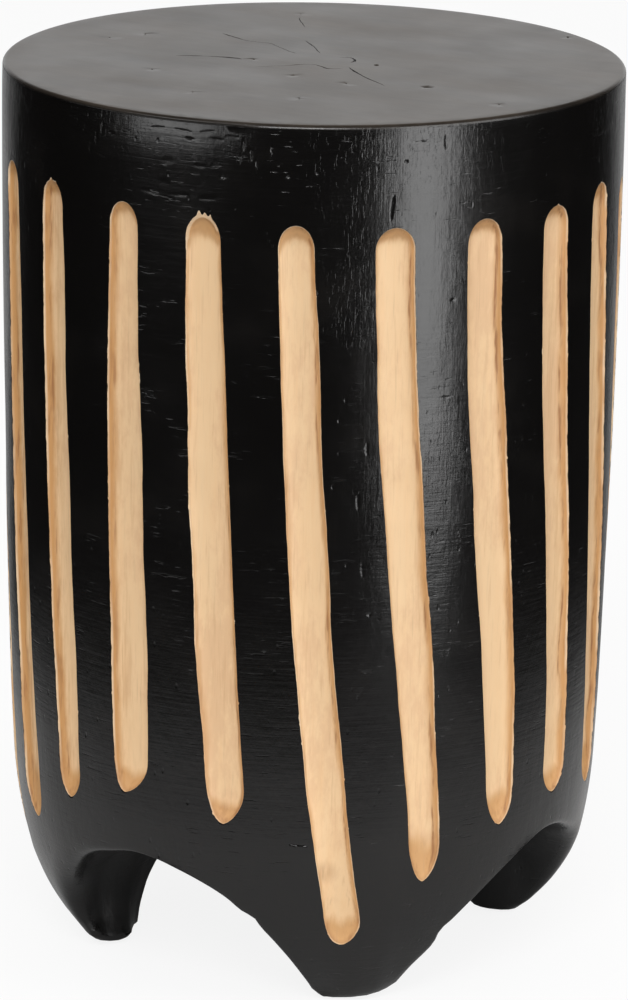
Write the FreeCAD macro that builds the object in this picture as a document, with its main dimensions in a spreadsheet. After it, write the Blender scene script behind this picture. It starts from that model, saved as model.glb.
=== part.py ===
import FreeCAD, Part
import math
import os
import Sketcher

# A side table carved from one upright log: a fluted drum on four legs, hollowed by two arched tunnels.
# Putty fills the drying checks in its top, and each foot has a nail-on glide with a felt pad.
# Lengths are in millimetres. The drum's axis is Z, and the tunnels run along X and Y.

document = FreeCAD.newDocument("carved_side_table")
sheet = document.addObject("Spreadsheet::Sheet", "sizes")

driving_sizes = (
    ("body_height", 508, "the wood, from the flat of its feet to its top"),
    ("top_diameter", 349, "across the rim of the top"),
    ("rim_radius", 2.5, "rounding of the top's edge"),
    ("flank_lean", 0.9, "degrees that the side leans outward as it rises"),
    ("belly_radius", 245, "curve that draws the side in towards the feet"),
    ("heel_radius", 14, "rounding where the side meets the floor"),
    ("foot_inset", 44.5, "from the rim inward to the outer edge of a foot's flat"),
    ("arch_throat", 66, "half width of each tunnel under the middle"),
    ("arch_mouth_x", 78, "half width of the X tunnel's mouths"),
    ("arch_mouth_y", 82, "half width of the Y tunnel's mouths"),
    ("arch_height_x", 88, "crown of the X tunnel above the feet"),
    ("arch_height_y", 85, "crown of the Y tunnel above the feet"),
    ("gouge_radius", 14, "round nose of the gouge that cuts the flutes"),
    ("flute_depth", 5.4, "deepest place of a flute"),
    ("check_width", 2.6, "widest filled check in the top"),
    ("check_depth", 12, "depth to which a check is raked out"),
    ("filler_clearance", 0.1, "shrinkage of the putty from each wall"),
    ("filler_sink", 0.3, "how far the putty lies below the top"),
    ("cup_diameter", 14, "plastic cup of a glide"),
    ("cup_height", 4.5, "the cup's whole height"),
    ("cup_proud", 0.5, "part of the cup that stands below the wood"),
    ("cup_wall", 1.2, "wall round the felt"),
    ("cup_floor", 2.2, "web that the nail goes through"),
    ("cup_clearance", 0.3, "room round the cup in its seat"),
    ("felt_proud", 1.5, "part of the felt that stands below the cup"),
    ("felt_clearance", 0.15, "room round the felt in the cup"),
    ("felt_bevel", 0.5, "worn edge of the felt"),
    ("nail_head_diameter", 5, "head set in the cup's web"),
    ("nail_head_height", 1, "thickness of the nail's head"),
    ("nail_diameter", 1.8, "shank of the nail"),
    ("nail_length", 15, "from the underside of the head to the tip"),
    ("nail_tip", 2.5, "length of the nail's point"),
    ("nail_clearance", 0.1, "room round the nail and its head"),
    ("overrun", 25, "how far a cutter runs past the wood"),
)

# Formulas on the sheet's sizes that several pieces share
rim_circle = "(sizes.top_diameter / 2)"
foot_circle = f"({rim_circle} - sizes.foot_inset)"
foot_plane = "(sizes.felt_proud + sizes.cup_proud)"
cup_top = "(sizes.felt_proud + sizes.cup_height)"
cup_web = f"({cup_top} - sizes.cup_floor)"
cup_inside = "(sizes.cup_diameter / 2 - sizes.cup_wall)"
head_top = f"({cup_web} + sizes.nail_head_height)"
head_bore = "(sizes.nail_head_diameter / 2 + sizes.nail_clearance)"
nail_bore = "(sizes.nail_diameter / 2 + sizes.nail_clearance)"
nail_end = f"({head_top} + sizes.nail_length)"
kerf_floor = "(sizes.body_height - sizes.check_depth)"

# A glide sits this share of the way out from the leg's inner corner to the foot's outer edge
glide_place_share = 0.6
inner_corner = "(sqrt(2) * sizes.arch_throat)"
glide_circle = f"({inner_corner} + {glide_place_share} * ({foot_circle} - {inner_corner}))"

# Places along a tunnel as shares of the rim's radius, and how far it has opened there from throat to mouth
flare_shares = ((0, 0), (0.3, 0.04), (0.42, 0.26), (0.6, 0.82), (0.75, 1), (1, 1.08))

# Flutes: turn in degrees from -Y at top and bottom, and the ends' heights as shares of the wood's
flute_shares = (
    (-39.5, -34.5, 0.909, 0.163),
    (-21.5, -18.5, 0.909, 0.208),
    (-3.5, -2.5, 0.901, 0.238),
    (13, 17.5, 0.903, 0.22),
    (29.5, 41, 0.892, 0.077),
    (47, 57, 0.89, 0.148),
    (65, 73, 0.892, 0.199),
    (82.5, 89.5, 0.892, 0.216),
    (98, 107.5, 0.9, 0.195),
    (115.5, 122.5, 0.886, 0.138),
    (133, 139.5, 0.894, 0.089),
    (150, 155, 0.905, 0.167),
    (166.5, 171, 0.898, 0.21),
    (184, 188.5, 0.89, 0.226),
    (201, 207, 0.9, 0.18),
    (218.5, 226.5, 0.907, 0.083),
    (235, 242, 0.897, 0.13),
    (252.5, 257, 0.889, 0.205),
    (269.5, 273, 0.902, 0.232),
    (286.5, 291.5, 0.896, 0.189),
    (303.5, 310.5, 0.904, 0.094),
)
# Depth of the gouge at a flute's top, bend and bottom, as shares of the flute's depth
flute_sink_shares = (0.85, 1, 0.85)
# The bend's place on the way up from the bottom of a flute to its top
flute_bend_share = 0.3

# Drying checks: centre lines as shares of the rim's radius, and widths as shares of the widest one
check_shares = {
    "front_left": (((-0.415, -0.203), (-0.339, -0.162), (-0.284, -0.14), (-0.209, -0.12)), 1),
    "left": (((-0.476, 0.193), (-0.366, 0.148), (-0.269, 0.135), (-0.17, 0.08)), 0.6),
    "back_left": (((-0.433, 0.574), (-0.387, 0.525), (-0.337, 0.465)), 0.5),
    "inner_back": (((-0.194, 0.251), (-0.108, 0.169), (-0.053, 0.116)), 0.55),
    "inner_front": (((-0.096, -0.19), (-0.008, -0.094), (0.031, -0.055), (0.105, -0.09)), 0.6),
    "right": (((0.175, -0.056), (0.21, -0.084), (0.309, -0.143), (0.395, -0.204)), 0.65),
    "heart": (((0.033, 0.076), (0.066, 0.108), (0.102, 0.075), (0.112, 0.037)), 0.5),
}
# A check's tips are this share as wide as its middle
check_tip_share = 0.2

# The legs stand on the diagonals, and the seats for their glides repeat from the first one
leg_turns = {"front_right": -45, "back_right": 45, "back_left": 135, "front_left": 225}
first_turn = leg_turns["back_right"]
glide_across = f"{glide_circle} * cos({first_turn} deg)"
glide_along = f"{glide_circle} * sin({first_turn} deg)"


def fill_sheet():
    for row, (name, value, note) in enumerate(driving_sizes, start=1):
        sheet.set(f"A{row}", name)
        sheet.set(f"B{row}", str(value))
        sheet.setAlias(f"B{row}", name)
        sheet.set(f"C{row}", note)
    document.recompute()


def size(formula):
    return float(sheet.evalExpression(formula))


def origin_plane(body, role):
    return next(feature for feature in body.Origin.OriginFeatures if feature.Role == role)


def flat_sketch(body, name, role, lift=None):
    sketch = body.newObject("Sketcher::SketchObject", name)
    sketch.AttachmentSupport = (origin_plane(body, role), [""])
    sketch.MapMode = "FlatFace"
    if lift:
        sketch.setExpression("AttachmentOffset.Base.z", lift)
    return sketch


def place_point(sketch, edge, end, across, up):
    for kind, axis, formula in (("DistanceX", -2, across), ("DistanceY", -1, up)):
        if formula == "0":
            sketch.addConstraint(Sketcher.Constraint("PointOnObject", edge, end, axis))
        else:
            number = sketch.addConstraint(Sketcher.Constraint(kind, -1, 1, edge, end, size(formula)))
            sketch.setExpression(f"Constraints[{number}]", formula)


def draw_outline(sketch, corners):
    # A closed outline of straight sides, whose corners are pairs of formulas
    first = sketch.GeometryCount
    points = [FreeCAD.Vector(size(across), size(up), 0) for across, up in corners]
    following = points[1:] + points[:1]
    for start, end in zip(points, following):
        sketch.addGeometry(Part.LineSegment(start, end))
    for index, (across, up) in enumerate(corners):
        next_index = (index + 1) % len(corners)
        sketch.addConstraint(Sketcher.Constraint("Coincident", first + index, 2, first + next_index, 1))
        place_point(sketch, first + index, 1, across, up)


def turned_body(name, corners):
    body = document.addObject("PartDesign::Body", name)
    body.Label = name
    sketch = flat_sketch(body, f"{name}_outline", "XZ_Plane")
    draw_outline(sketch, corners)
    turning = body.newObject("PartDesign::Revolution", f"{name}_turning")
    turning.Profile = sketch
    turning.ReferenceAxis = (sketch, ["V_Axis"])
    turning.Angle = 360
    body.Tip = turning
    return body


def side_curve():
    # Centres of the arcs that round the drum's side, with the side's straight run between them
    lean = math.radians(size("sizes.flank_lean"))
    outward = FreeCAD.Vector(math.cos(lean), -math.sin(lean), 0)
    upward = FreeCAD.Vector(math.sin(lean), math.cos(lean), 0)
    rim_radius = size("sizes.rim_radius")
    belly_radius = size("sizes.belly_radius")
    heel_radius = size("sizes.heel_radius")
    rim_centre = FreeCAD.Vector(size(rim_circle) - rim_radius, size("sizes.body_height") - rim_radius, 0)
    heel_centre = FreeCAD.Vector(size(foot_circle), heel_radius, 0)
    flank_top = rim_centre + outward * rim_radius
    span = flank_top - outward * belly_radius - heel_centre
    along = span.dot(upward)
    reach = belly_radius - heel_radius
    drop = math.sqrt(along**2 - span.dot(span) + reach**2) - along
    flank_foot = flank_top + upward * drop
    belly_centre = flank_foot - outward * belly_radius
    return rim_centre, flank_top, flank_foot, belly_centre, heel_centre


def side_radius(level):
    # Radius of the uncut drum at a height above its feet
    rim_centre, flank_top, flank_foot, belly_centre, heel_centre = side_curve()
    if level > flank_foot.y:
        return flank_top.x + (level - flank_top.y) * math.tan(math.radians(size("sizes.flank_lean")))
    return belly_centre.x + math.sqrt(size("sizes.belly_radius") ** 2 - (level - belly_centre.y) ** 2)


def draw_drum_outline(sketch):
    rim_centre, flank_top, flank_foot, belly_centre, heel_centre = side_curve()
    normal = FreeCAD.Vector(0, 0, 1)
    flat = -math.radians(size("sizes.flank_lean"))
    to_heel = heel_centre - belly_centre
    heel_angle = math.atan2(to_heel.y, to_heel.x)
    down = -math.pi / 2
    quarter = math.pi / 2
    axis_foot = FreeCAD.Vector(0, 0, 0)
    axis_top = FreeCAD.Vector(0, size("sizes.body_height"), 0)
    foot_edge = FreeCAD.Vector(heel_centre.x, 0, 0)
    rim_edge = FreeCAD.Vector(rim_centre.x, axis_top.y, 0)
    heel = Part.Circle(heel_centre, normal, size("sizes.heel_radius"))
    belly = Part.Circle(belly_centre, normal, size("sizes.belly_radius"))
    rim = Part.Circle(rim_centre, normal, size("sizes.rim_radius"))
    base_edge = sketch.addGeometry(Part.LineSegment(axis_foot, foot_edge))
    heel_edge = sketch.addGeometry(Part.ArcOfCircle(heel, down, heel_angle))
    belly_edge = sketch.addGeometry(Part.ArcOfCircle(belly, heel_angle, flat))
    flank_edge = sketch.addGeometry(Part.LineSegment(flank_foot, flank_top))
    rim_arc = sketch.addGeometry(Part.ArcOfCircle(rim, flat, quarter))
    top_edge = sketch.addGeometry(Part.LineSegment(rim_edge, axis_top))
    axis_edge = sketch.addGeometry(Part.LineSegment(axis_top, axis_foot))
    sketch.addConstraint(Sketcher.Constraint("Coincident", base_edge, 1, -1, 1))
    sketch.addConstraint(Sketcher.Constraint("Coincident", axis_edge, 2, base_edge, 1))
    sketch.addConstraint(Sketcher.Constraint("Coincident", top_edge, 2, axis_edge, 1))
    for before, after in (
        (base_edge, heel_edge),
        (heel_edge, belly_edge),
        (belly_edge, flank_edge),
        (flank_edge, rim_arc),
        (rim_arc, top_edge),
    ):
        sketch.addConstraint(Sketcher.Constraint("Tangent", before, 2, after, 1))
    sketch.addConstraint(Sketcher.Constraint("Horizontal", top_edge))
    place_point(sketch, base_edge, 2, foot_circle, "0")
    place_point(sketch, axis_edge, 1, "0", "sizes.body_height")
    for kind, edge, formula in (
        ("Radius", heel_edge, "sizes.heel_radius"),
        ("Radius", belly_edge, "sizes.belly_radius"),
        ("Radius", rim_arc, "sizes.rim_radius"),
    ):
        number = sketch.addConstraint(Sketcher.Constraint(kind, edge, size(formula)))
        sketch.setExpression(f"Constraints[{number}]", formula)
    lean = sketch.addConstraint(Sketcher.Constraint("Angle", flank_edge, quarter + flat))
    sketch.setExpression(f"Constraints[{lean}]", "90 - sizes.flank_lean")
    rim_place = f"{rim_circle} - sizes.rim_radius"
    reach = sketch.addConstraint(Sketcher.Constraint("DistanceX", -1, 1, rim_arc, 3, size(rim_place)))
    sketch.setExpression(f"Constraints[{reach}]", rim_place)


def check_corners(centres, width_share, clearance):
    # A thin blade round a check's centre line, widest in the middle and blunt at its tips
    corners_left = []
    corners_right = []
    last = len(centres) - 1
    for index, (across_share, along_share) in enumerate(centres):
        before = centres[max(index - 1, 0)]
        after = centres[min(index + 1, last)]
        length = math.hypot(after[0] - before[0], after[1] - before[1])
        run_across = (after[0] - before[0]) / length
        run_along = (after[1] - before[1]) / length
        at_tip = (index == last) - (index == 0)
        share = width_share * (check_tip_share if at_tip else 1) / 2
        for side, corners in ((1, corners_left), (-1, corners_right)):
            half_width = f"({side * share} * sizes.check_width + {side} * {clearance})"
            across = f"{across_share} * {rim_circle} - {run_along} * {half_width}"
            along = f"{along_share} * {rim_circle} + {run_across} * {half_width}"
            across += f" + {at_tip * run_across} * {clearance}"
            along += f" + {at_tip * run_along} * {clearance}"
            corners.append((across, along))
    return corners_left + corners_right[::-1]


def cut_pocket(body, sketch, name, depth, upward):
    volume = body.Shape.Volume
    pocket = body.newObject("PartDesign::Pocket", name)
    pocket.Profile = sketch
    pocket.Reversed = upward
    pocket.setExpression("Length", depth)
    body.Tip = pocket
    document.recompute()
    if body.Shape.Volume >= volume:
        raise RuntimeError(f"{name} cuts nothing")
    return pocket


def round_pocket(body, name, radius, depth):
    # A round hole cut upward into one foot
    sketch = flat_sketch(body, f"{name}_circle", "XY_Plane")
    centre = FreeCAD.Vector(size(glide_across), size(glide_along), 0)
    circle = sketch.addGeometry(Part.Circle(centre, FreeCAD.Vector(0, 0, 1), size(radius)))
    place_point(sketch, circle, 3, glide_across, glide_along)
    number = sketch.addConstraint(Sketcher.Constraint("Radius", circle, size(radius)))
    sketch.setExpression(f"Constraints[{number}]", radius)
    return cut_pocket(body, sketch, name, depth, True)


def drum_blank():
    # The turned log with the raked checks in its top and the seats for its glides
    body = document.addObject("PartDesign::Body", "drum_blank")
    outline = flat_sketch(body, "drum_outline", "XZ_Plane")
    draw_drum_outline(outline)
    turning = body.newObject("PartDesign::Revolution", "drum_turning")
    turning.Profile = outline
    turning.ReferenceAxis = (outline, ["V_Axis"])
    turning.Angle = 360
    body.Tip = turning
    document.recompute()
    kerfs = flat_sketch(body, "check_kerf_outlines", "XY_Plane", "sizes.body_height")
    for centres, width_share in check_shares.values():
        draw_outline(kerfs, check_corners(centres, width_share, "sizes.filler_clearance"))
    cut_pocket(body, kerfs, "check_kerfs", "sizes.check_depth", False)
    seat_depth = f"{cup_top} - {foot_plane}"
    seat_radius = "sizes.cup_diameter / 2 + sizes.cup_clearance"
    seat = round_pocket(body, "glide_seat", seat_radius, seat_depth)
    bore_depth = f"{nail_end} + sizes.cup_clearance - {foot_plane}"
    bore = round_pocket(body, "nail_bore", nail_bore, bore_depth)
    feet = body.newObject("PartDesign::PolarPattern", "glide_seats_all_round")
    feet.Originals = [seat, bore]
    feet.Axis = (seat.Profile[0], ["N_Axis"])
    feet.Angle = 360
    feet.Occurrences = len(leg_turns)
    body.Tip = feet
    return body


def tunnel_cutter(name, mouth, crown, turn):
    # An arched tunnel along Y, bell-mouthed at both ends, then turned about the drum's axis
    throat_width = size("sizes.arch_throat")
    mouth_width = size(mouth)
    crown_height = size(crown)
    rim = size(rim_circle)
    places = [(-reach_share, flare_share) for reach_share, flare_share in flare_shares[:0:-1]]
    places += list(flare_shares)
    wires = []
    for reach_share, flare_share in places:
        half_width = throat_width + (mouth_width - throat_width) * flare_share
        overrun = math.copysign(size("sizes.overrun"), reach_share) if abs(reach_share) == 1 else 0
        stretch = FreeCAD.Matrix()
        stretch.scale(half_width, 1, crown_height)
        stretch.move(FreeCAD.Vector(0, reach_share * rim + overrun, 0))
        unit_circle = Part.makeCircle(1, FreeCAD.Vector(0, 0, 0), FreeCAD.Vector(0, 1, 0))
        wires.append(Part.Wire(unit_circle.transformGeometry(stretch)))
    cutter = document.addObject("Part::Feature", name)
    cutter.Shape = Part.makeLoft(wires, True)
    cutter.Placement = FreeCAD.Placement(FreeCAD.Vector(), FreeCAD.Rotation(FreeCAD.Vector(0, 0, 1), turn))
    return cutter


def gouge_place(turn, level, sink):
    # Centre of the gouge's nose when it cuts to a depth at a height and turn round the drum
    radius = side_radius(level) + size("sizes.gouge_radius") - sink
    angle = math.radians(turn)
    return FreeCAD.Vector(radius * math.sin(angle), -radius * math.cos(angle), level)


def mitred_stroke(nose, end, run, bend, bend_normal):
    # The gouge's straight stroke from one end of a flute to the mitre plane at its bend
    length = (bend - end).Length + nose
    past_bend = Part.makeCylinder(2 * nose, 2 * nose, bend, bend_normal)
    return Part.makeCylinder(nose, length, end, run).cut(past_bend)


def flute_cutter(top_turn, bottom_turn, top_share, bottom_share):
    # Two straight strokes that meet at a bend low on the side, with a round end on each
    nose = size("sizes.gouge_radius")
    height = size("sizes.body_height")
    sinks = [size("sizes.flute_depth") * share for share in flute_sink_shares]
    end_reach = math.sqrt(2 * nose * sinks[0] - sinks[0] ** 2)
    top_level = height * top_share - end_reach
    bottom_level = height * bottom_share + end_reach
    bend_turn = bottom_turn + (top_turn - bottom_turn) * flute_bend_share
    bend_level = bottom_level + (top_level - bottom_level) * flute_bend_share
    top = gouge_place(top_turn, top_level, sinks[0])
    bend = gouge_place(bend_turn, bend_level, sinks[1])
    bottom = gouge_place(bottom_turn, bottom_level, sinks[2])
    down = (bend - top).normalize()
    up = (bend - bottom).normalize()
    mitre = (down - up).normalize()
    return [
        Part.makeSphere(nose, top, down * -1, 0, 90, 360),
        mitred_stroke(nose, top, down, bend, mitre),
        mitred_stroke(nose, bottom, up, bend, mitre * -1),
        Part.makeSphere(nose, bottom, up * -1, 0, 90, 360),
    ]


def flute_cutters():
    solids = []
    for flute in flute_shares:
        solids += flute_cutter(*flute)
    cutters = document.addObject("Part::Feature", "flute_cutters")
    cutters.Shape = Part.makeCompound(solids)
    cutters.Placement = FreeCAD.Placement()
    return cutters


def carve(name, wood, tool):
    document.recompute()
    volume = wood.Shape.Volume
    carving = document.addObject("Part::Cut", name)
    carving.Base = wood
    carving.Tool = tool
    document.recompute()
    if carving.Shape.Volume >= volume:
        raise RuntimeError(f"{name} cuts nothing")
    return carving


def carved_body():
    wood = drum_blank()
    x_tunnel = tunnel_cutter("x_tunnel", "sizes.arch_mouth_x", "sizes.arch_height_x", 90)
    y_tunnel = tunnel_cutter("y_tunnel", "sizes.arch_mouth_y", "sizes.arch_height_y", 0)
    wood = carve("wood_with_x_tunnel", wood, x_tunnel)
    wood = carve("wood_with_tunnels", wood, y_tunnel)
    wood = carve("carved_body", wood, flute_cutters())
    wood.Label = "carved_body"
    wood.setExpression("Placement.Base.z", foot_plane)
    return wood


def check_filler(place, centres, width_share):
    # Putty in a check: a blade that stands on the kerf's floor, a little narrower and lower than the kerf
    name = f"check_filler_{place}"
    body = document.addObject("PartDesign::Body", name)
    body.Label = name
    sketch = flat_sketch(body, f"{name}_outline", "XY_Plane")
    draw_outline(sketch, check_corners(centres, width_share, "0"))
    pad = body.newObject("PartDesign::Pad", f"{name}_pad")
    pad.Profile = sketch
    pad.setExpression("Length", "sizes.check_depth - sizes.filler_sink")
    body.Tip = pad
    body.setExpression("Placement.Base.z", f"{foot_plane} + {kerf_floor}")
    return body


def glide_cup(name):
    return turned_body(name, (
        (nail_bore, cup_top),
        (nail_bore, head_top),
        (head_bore, head_top),
        (head_bore, cup_web),
        (cup_inside, cup_web),
        (cup_inside, "sizes.felt_proud"),
        ("sizes.cup_diameter / 2", "sizes.felt_proud"),
        ("sizes.cup_diameter / 2", cup_top),
    ))


def glide_felt(name):
    felt_edge = f"{cup_inside} - sizes.felt_clearance"
    return turned_body(name, (
        ("0", "0"),
        (f"{felt_edge} - sizes.felt_bevel", "0"),
        (felt_edge, "sizes.felt_bevel"),
        (felt_edge, cup_web),
        ("0", cup_web),
    ))


def glide_nail(name):
    return turned_body(name, (
        ("0", cup_web),
        ("sizes.nail_head_diameter / 2", cup_web),
        ("sizes.nail_head_diameter / 2", head_top),
        ("sizes.nail_diameter / 2", head_top),
        ("sizes.nail_diameter / 2", f"{nail_end} - sizes.nail_tip"),
        ("0", nail_end),
    ))


def stand_under_foot(body, turn):
    body.setExpression("Placement.Base.x", f"{glide_circle} * cos({turn} deg)")
    body.setExpression("Placement.Base.y", f"{glide_circle} * sin({turn} deg)")


def build_pieces():
    pieces = [carved_body()]
    for place, (centres, width_share) in check_shares.items():
        pieces.append(check_filler(place, centres, width_share))
    for foot, turn in leg_turns.items():
        for part, maker in (("cup", glide_cup), ("felt", glide_felt), ("nail", glide_nail)):
            piece = maker(f"glide_{part}_{foot}")
            stand_under_foot(piece, turn)
            pieces.append(piece)
    document.recompute()
    return pieces


def check_pieces(pieces):
    for thing in document.Objects:
        if "Invalid" in thing.State or "Error" in thing.State:
            raise RuntimeError(f"{thing.Name} failed: {thing.State}")
    for piece in pieces:
        if piece.Shape.isNull() or not piece.Shape.isValid() or len(piece.Shape.Solids) != 1:
            raise RuntimeError(f"{piece.Label} is not one sound solid")


def write_pieces(pieces):
    os.makedirs("parts", exist_ok=True)
    for piece in pieces:
        piece.Shape.exportStep(f"parts/{piece.Label}.step")
        box = piece.Shape.BoundBox
        print(f"{piece.Label}: {piece.Shape.Volume:.1f} mm3, z {box.ZMin:.2f} to {box.ZMax:.2f}")


fill_sheet()
pieces = build_pieces()
check_pieces(pieces)
write_pieces(pieces)
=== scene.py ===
import math
import random
import bmesh
import bpy
import numpy as np
from mathutils import Matrix, Vector, geometry


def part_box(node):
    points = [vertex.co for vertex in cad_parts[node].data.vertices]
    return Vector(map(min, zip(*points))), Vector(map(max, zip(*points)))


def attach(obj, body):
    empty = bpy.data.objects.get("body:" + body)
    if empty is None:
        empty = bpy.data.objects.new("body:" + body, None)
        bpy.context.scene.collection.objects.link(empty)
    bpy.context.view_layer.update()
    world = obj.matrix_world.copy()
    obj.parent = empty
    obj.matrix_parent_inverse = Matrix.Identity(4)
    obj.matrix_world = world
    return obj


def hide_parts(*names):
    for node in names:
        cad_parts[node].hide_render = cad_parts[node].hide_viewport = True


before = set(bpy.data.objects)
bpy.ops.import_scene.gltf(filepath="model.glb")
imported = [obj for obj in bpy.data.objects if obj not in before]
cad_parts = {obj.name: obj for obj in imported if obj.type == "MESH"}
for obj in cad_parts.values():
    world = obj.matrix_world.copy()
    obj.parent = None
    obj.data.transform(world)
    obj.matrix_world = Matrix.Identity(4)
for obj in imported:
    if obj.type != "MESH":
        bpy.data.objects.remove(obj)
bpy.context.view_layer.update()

millimetre = 0.001
frontTurn = 32.5  # degrees from -Y towards +X: the marks of the wood were measured looking from there


# Node trees, written as sums
class Wire:
    def __init__(self, graph, socket):
        self.graph, self.socket = graph, socket

    def math(self, operation, other=None, swapped=False):
        values = [self] if other is None else [self, other]
        if swapped:
            values.reverse()
        return self.graph.add("ShaderNodeMath", {"operation": operation}, dict(enumerate(values)))

    def __add__(self, other):
        return self.math("ADD", other)

    def __radd__(self, other):
        return self.math("ADD", other, True)

    def __sub__(self, other):
        return self.math("SUBTRACT", other)

    def __rsub__(self, other):
        return self.math("SUBTRACT", other, True)

    def __mul__(self, other):
        return self.math("MULTIPLY", other)

    def __rmul__(self, other):
        return self.math("MULTIPLY", other, True)

    def __truediv__(self, other):
        return self.math("DIVIDE", other)

    def __rtruediv__(self, other):
        return self.math("DIVIDE", other, True)

    def __pow__(self, other):
        return self.math("POWER", other)

    def atLeast(self, other):
        return self.math("MAXIMUM", other)

    def atMost(self, other):
        return self.math("MINIMUM", other)

    def between(self):
        return self.atLeast(0.0).atMost(1.0)

    def ramp(self, start, end):  # 0 before start, 1 past end, smooth between
        values = {"Value": self, "From Min": start, "From Max": end}
        return self.graph.add("ShaderNodeMapRange", {"interpolation_type": "SMOOTHSTEP"}, values)


class Graph:
    def __init__(self, tree):
        self.tree = tree
        tree.nodes.clear()

    def add(self, kind, settings=None, values=None, out=0):
        node = self.tree.nodes.new(kind)
        for name, value in (settings or {}).items():
            setattr(node, name, value)
        for name, value in (values or {}).items():
            if isinstance(value, Wire):
                self.tree.links.new(value.socket, node.inputs[name])
            else:
                node.inputs[name].default_value = value
        return Wire(self, node.outputs[out]) if len(node.outputs) else node

    def stretched(self, place, scale):  # a place scaled along each axis, for grain that runs one way
        return self.add("ShaderNodeVectorMath", {"operation": "MULTIPLY"}, {0: place, 1: scale})

    def noise(self, place, scale=1.0, detail=2.0, roughness=0.5, distortion=0.0):
        values = {"Vector": place, "Scale": scale, "Detail": detail, "Roughness": roughness}
        return self.add("ShaderNodeTexNoise", {}, {**values, "Distortion": distortion})

    def tint(self, share, first, second):  # first colour where share is 0, second where it is 1
        values = {0: share, 6: first, 7: second}
        return self.add("ShaderNodeMix", {"data_type": "RGBA"}, values, 2)

    def attribute(self, name):
        return self.add("ShaderNodeAttribute", {"attribute_name": name}, {}, "Fac")


def smoothLine(points):  # a smooth curve through stations, level past its ends
    xs, ys = (np.array(column, float) for column in zip(*sorted(points)))
    slopes = np.gradient(ys, xs)

    def value(x):
        x = np.clip(x, xs[0], xs[-1])
        k = np.clip(np.searchsorted(xs, x) - 1, 0, len(xs) - 2)
        h = xs[k + 1] - xs[k]
        t = (x - xs[k]) / h
        rise = t * t * (3 - 2 * t)
        bend = h * t * (1 - t) * (slopes[k] * (1 - t) - slopes[k + 1] * t)
        return ys[k] * (1 - rise) + ys[k + 1] * rise + bend

    return value


def easeBetween(value, start, end):
    share = np.clip((value - start) / (end - start), 0, 1)
    return share * share * (3 - 2 * share)


def unevenLine(seed, waves):  # a hand's unevenness: sines of given lengths and heights
    draw = random.Random(seed)
    parts = [(height, length * draw.uniform(0.8, 1.25), draw.uniform(0, math.tau)) for length, height in waves]
    return lambda x: sum(height * np.sin(math.tau * x / length + start) for height, length, start in parts)


# The drum's profile, in millimetres above the wood's feet
low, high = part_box("carved_body")
lift = low.z / millimetre  # what the glides lift the wood
logSizes = {
    "radius": high.x / millimetre,
    "height": (high.z - low.z) / millimetre,
    "rimRound": 2.5,
    "heelRound": 14.0,
    "bellyRound": 245.0,
    "footEdge": 130.0,
    "flankLean": 0.9,
    "swell": [(0, 0), (110, 0), (150, 0.6), (229, 1.6), (330, 1.8), (432, 1.1), (470, 0.6), (486, 0.3), (497, 0.05), (506, -0.15)],
    "shoulder": {"turns": (-32, -14, 16, 24), "height": 24.0, "depth": 1.9},  # hand-rounded just under the rim on one side
    "heel": {  # what the carver took off the heels: turn, bulge taken away, and a little more or less at the floor
        "turns": [(-75, 5.5, 0), (-62, 8, 0), (-54, 8.5, -2.2), (-49, 8.5, -0.4), (-43, 9, 0.6), (-38, 9, 2.5), (-33, 8, 5), (-24, 5, 0), (0, 3, 0),
                  (34, 5, 1), (38, 4.5, -4), (41, 1, -4), (45, -1, -4), (50, 0, -3), (54, 3, -1), (62, 4, 0), (103, 4, 0), (115, 5.5, -1), (123, 9, 1),
                  (128, 9, 1), (134, 7, -1), (142, 5, 0), (210, 5, 0), (225, 3, 0), (240, 5, 0), (285, 5.5, 0)],
        "levels": [(0, 0.2), (0.5, 0.55), (1, 0.7), (2, 0.86), (4, 1), (10, 0.83), (16, 0.62), (22, 0.48), (28, 0.37), (34, 0.29), (47, 0.16), (62, 0.11), (80, 0.1), (110, 0.08), (145, 0)],
        "floor": 6.0,
    },
    "landStep": 4.4,
    "rimSteps": 300,
    "rimRows": 5,
    "topStep": 5.5,
    "sheetScale": 3.0,  # millimetres of the flat pattern for a degree of turn
}


def drumProfile(s):
    lean = math.radians(s["flankLean"])
    outward, upward = np.array([math.cos(lean), -math.sin(lean)]), np.array([math.sin(lean), math.cos(lean)])
    rimCentre = np.array([s["radius"] - s["rimRound"], s["height"] - s["rimRound"]])
    heelCentre = np.array([s["footEdge"], s["heelRound"]])
    flankTop = rimCentre + outward * s["rimRound"]
    span = flankTop - outward * s["bellyRound"] - heelCentre
    along = span @ upward
    drop = math.sqrt(along**2 - span @ span + (s["bellyRound"] - s["heelRound"]) ** 2) - along
    flankFoot = flankTop + upward * drop
    bellyCentre = flankFoot - outward * s["bellyRound"]
    heelAngle = math.atan2(*(heelCentre - bellyCentre)[::-1])
    places = [heelCentre + s["heelRound"] * np.array([math.cos(a), math.sin(a)]) for a in np.linspace(-math.pi / 2, heelAngle, 24)]
    places += [bellyCentre + s["bellyRound"] * np.array([math.cos(a), math.sin(a)]) for a in np.linspace(heelAngle, -lean, 60)[1:]]
    places += [flankFoot + (flankTop - flankFoot) * share for share in np.linspace(0, 1, 100)[1:]]
    line = np.array(places)
    line[:, 0] += smoothLine(s["swell"])(line[:, 1])
    rimCentre[0] += line[-1, 0] - flankTop[0]
    runs = np.concatenate([[0], np.cumsum(np.hypot(*np.diff(line, axis=0).T))])
    return runs, line[:, 0], line[:, 1], rimCentre, lean


profileRun, profileRadius, profileLevel, rimCentre, rimLean = drumProfile(logSizes)
sideRun = profileRun[-1]  # length of the side from the foot's edge to the rim's rounding


def radiusAt(run):
    return np.interp(run, profileRun, profileRadius)


def levelAt(run):
    return np.interp(run, profileRun, profileLevel)


def runAt(level):
    return np.interp(level, profileLevel, profileRun)


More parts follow.
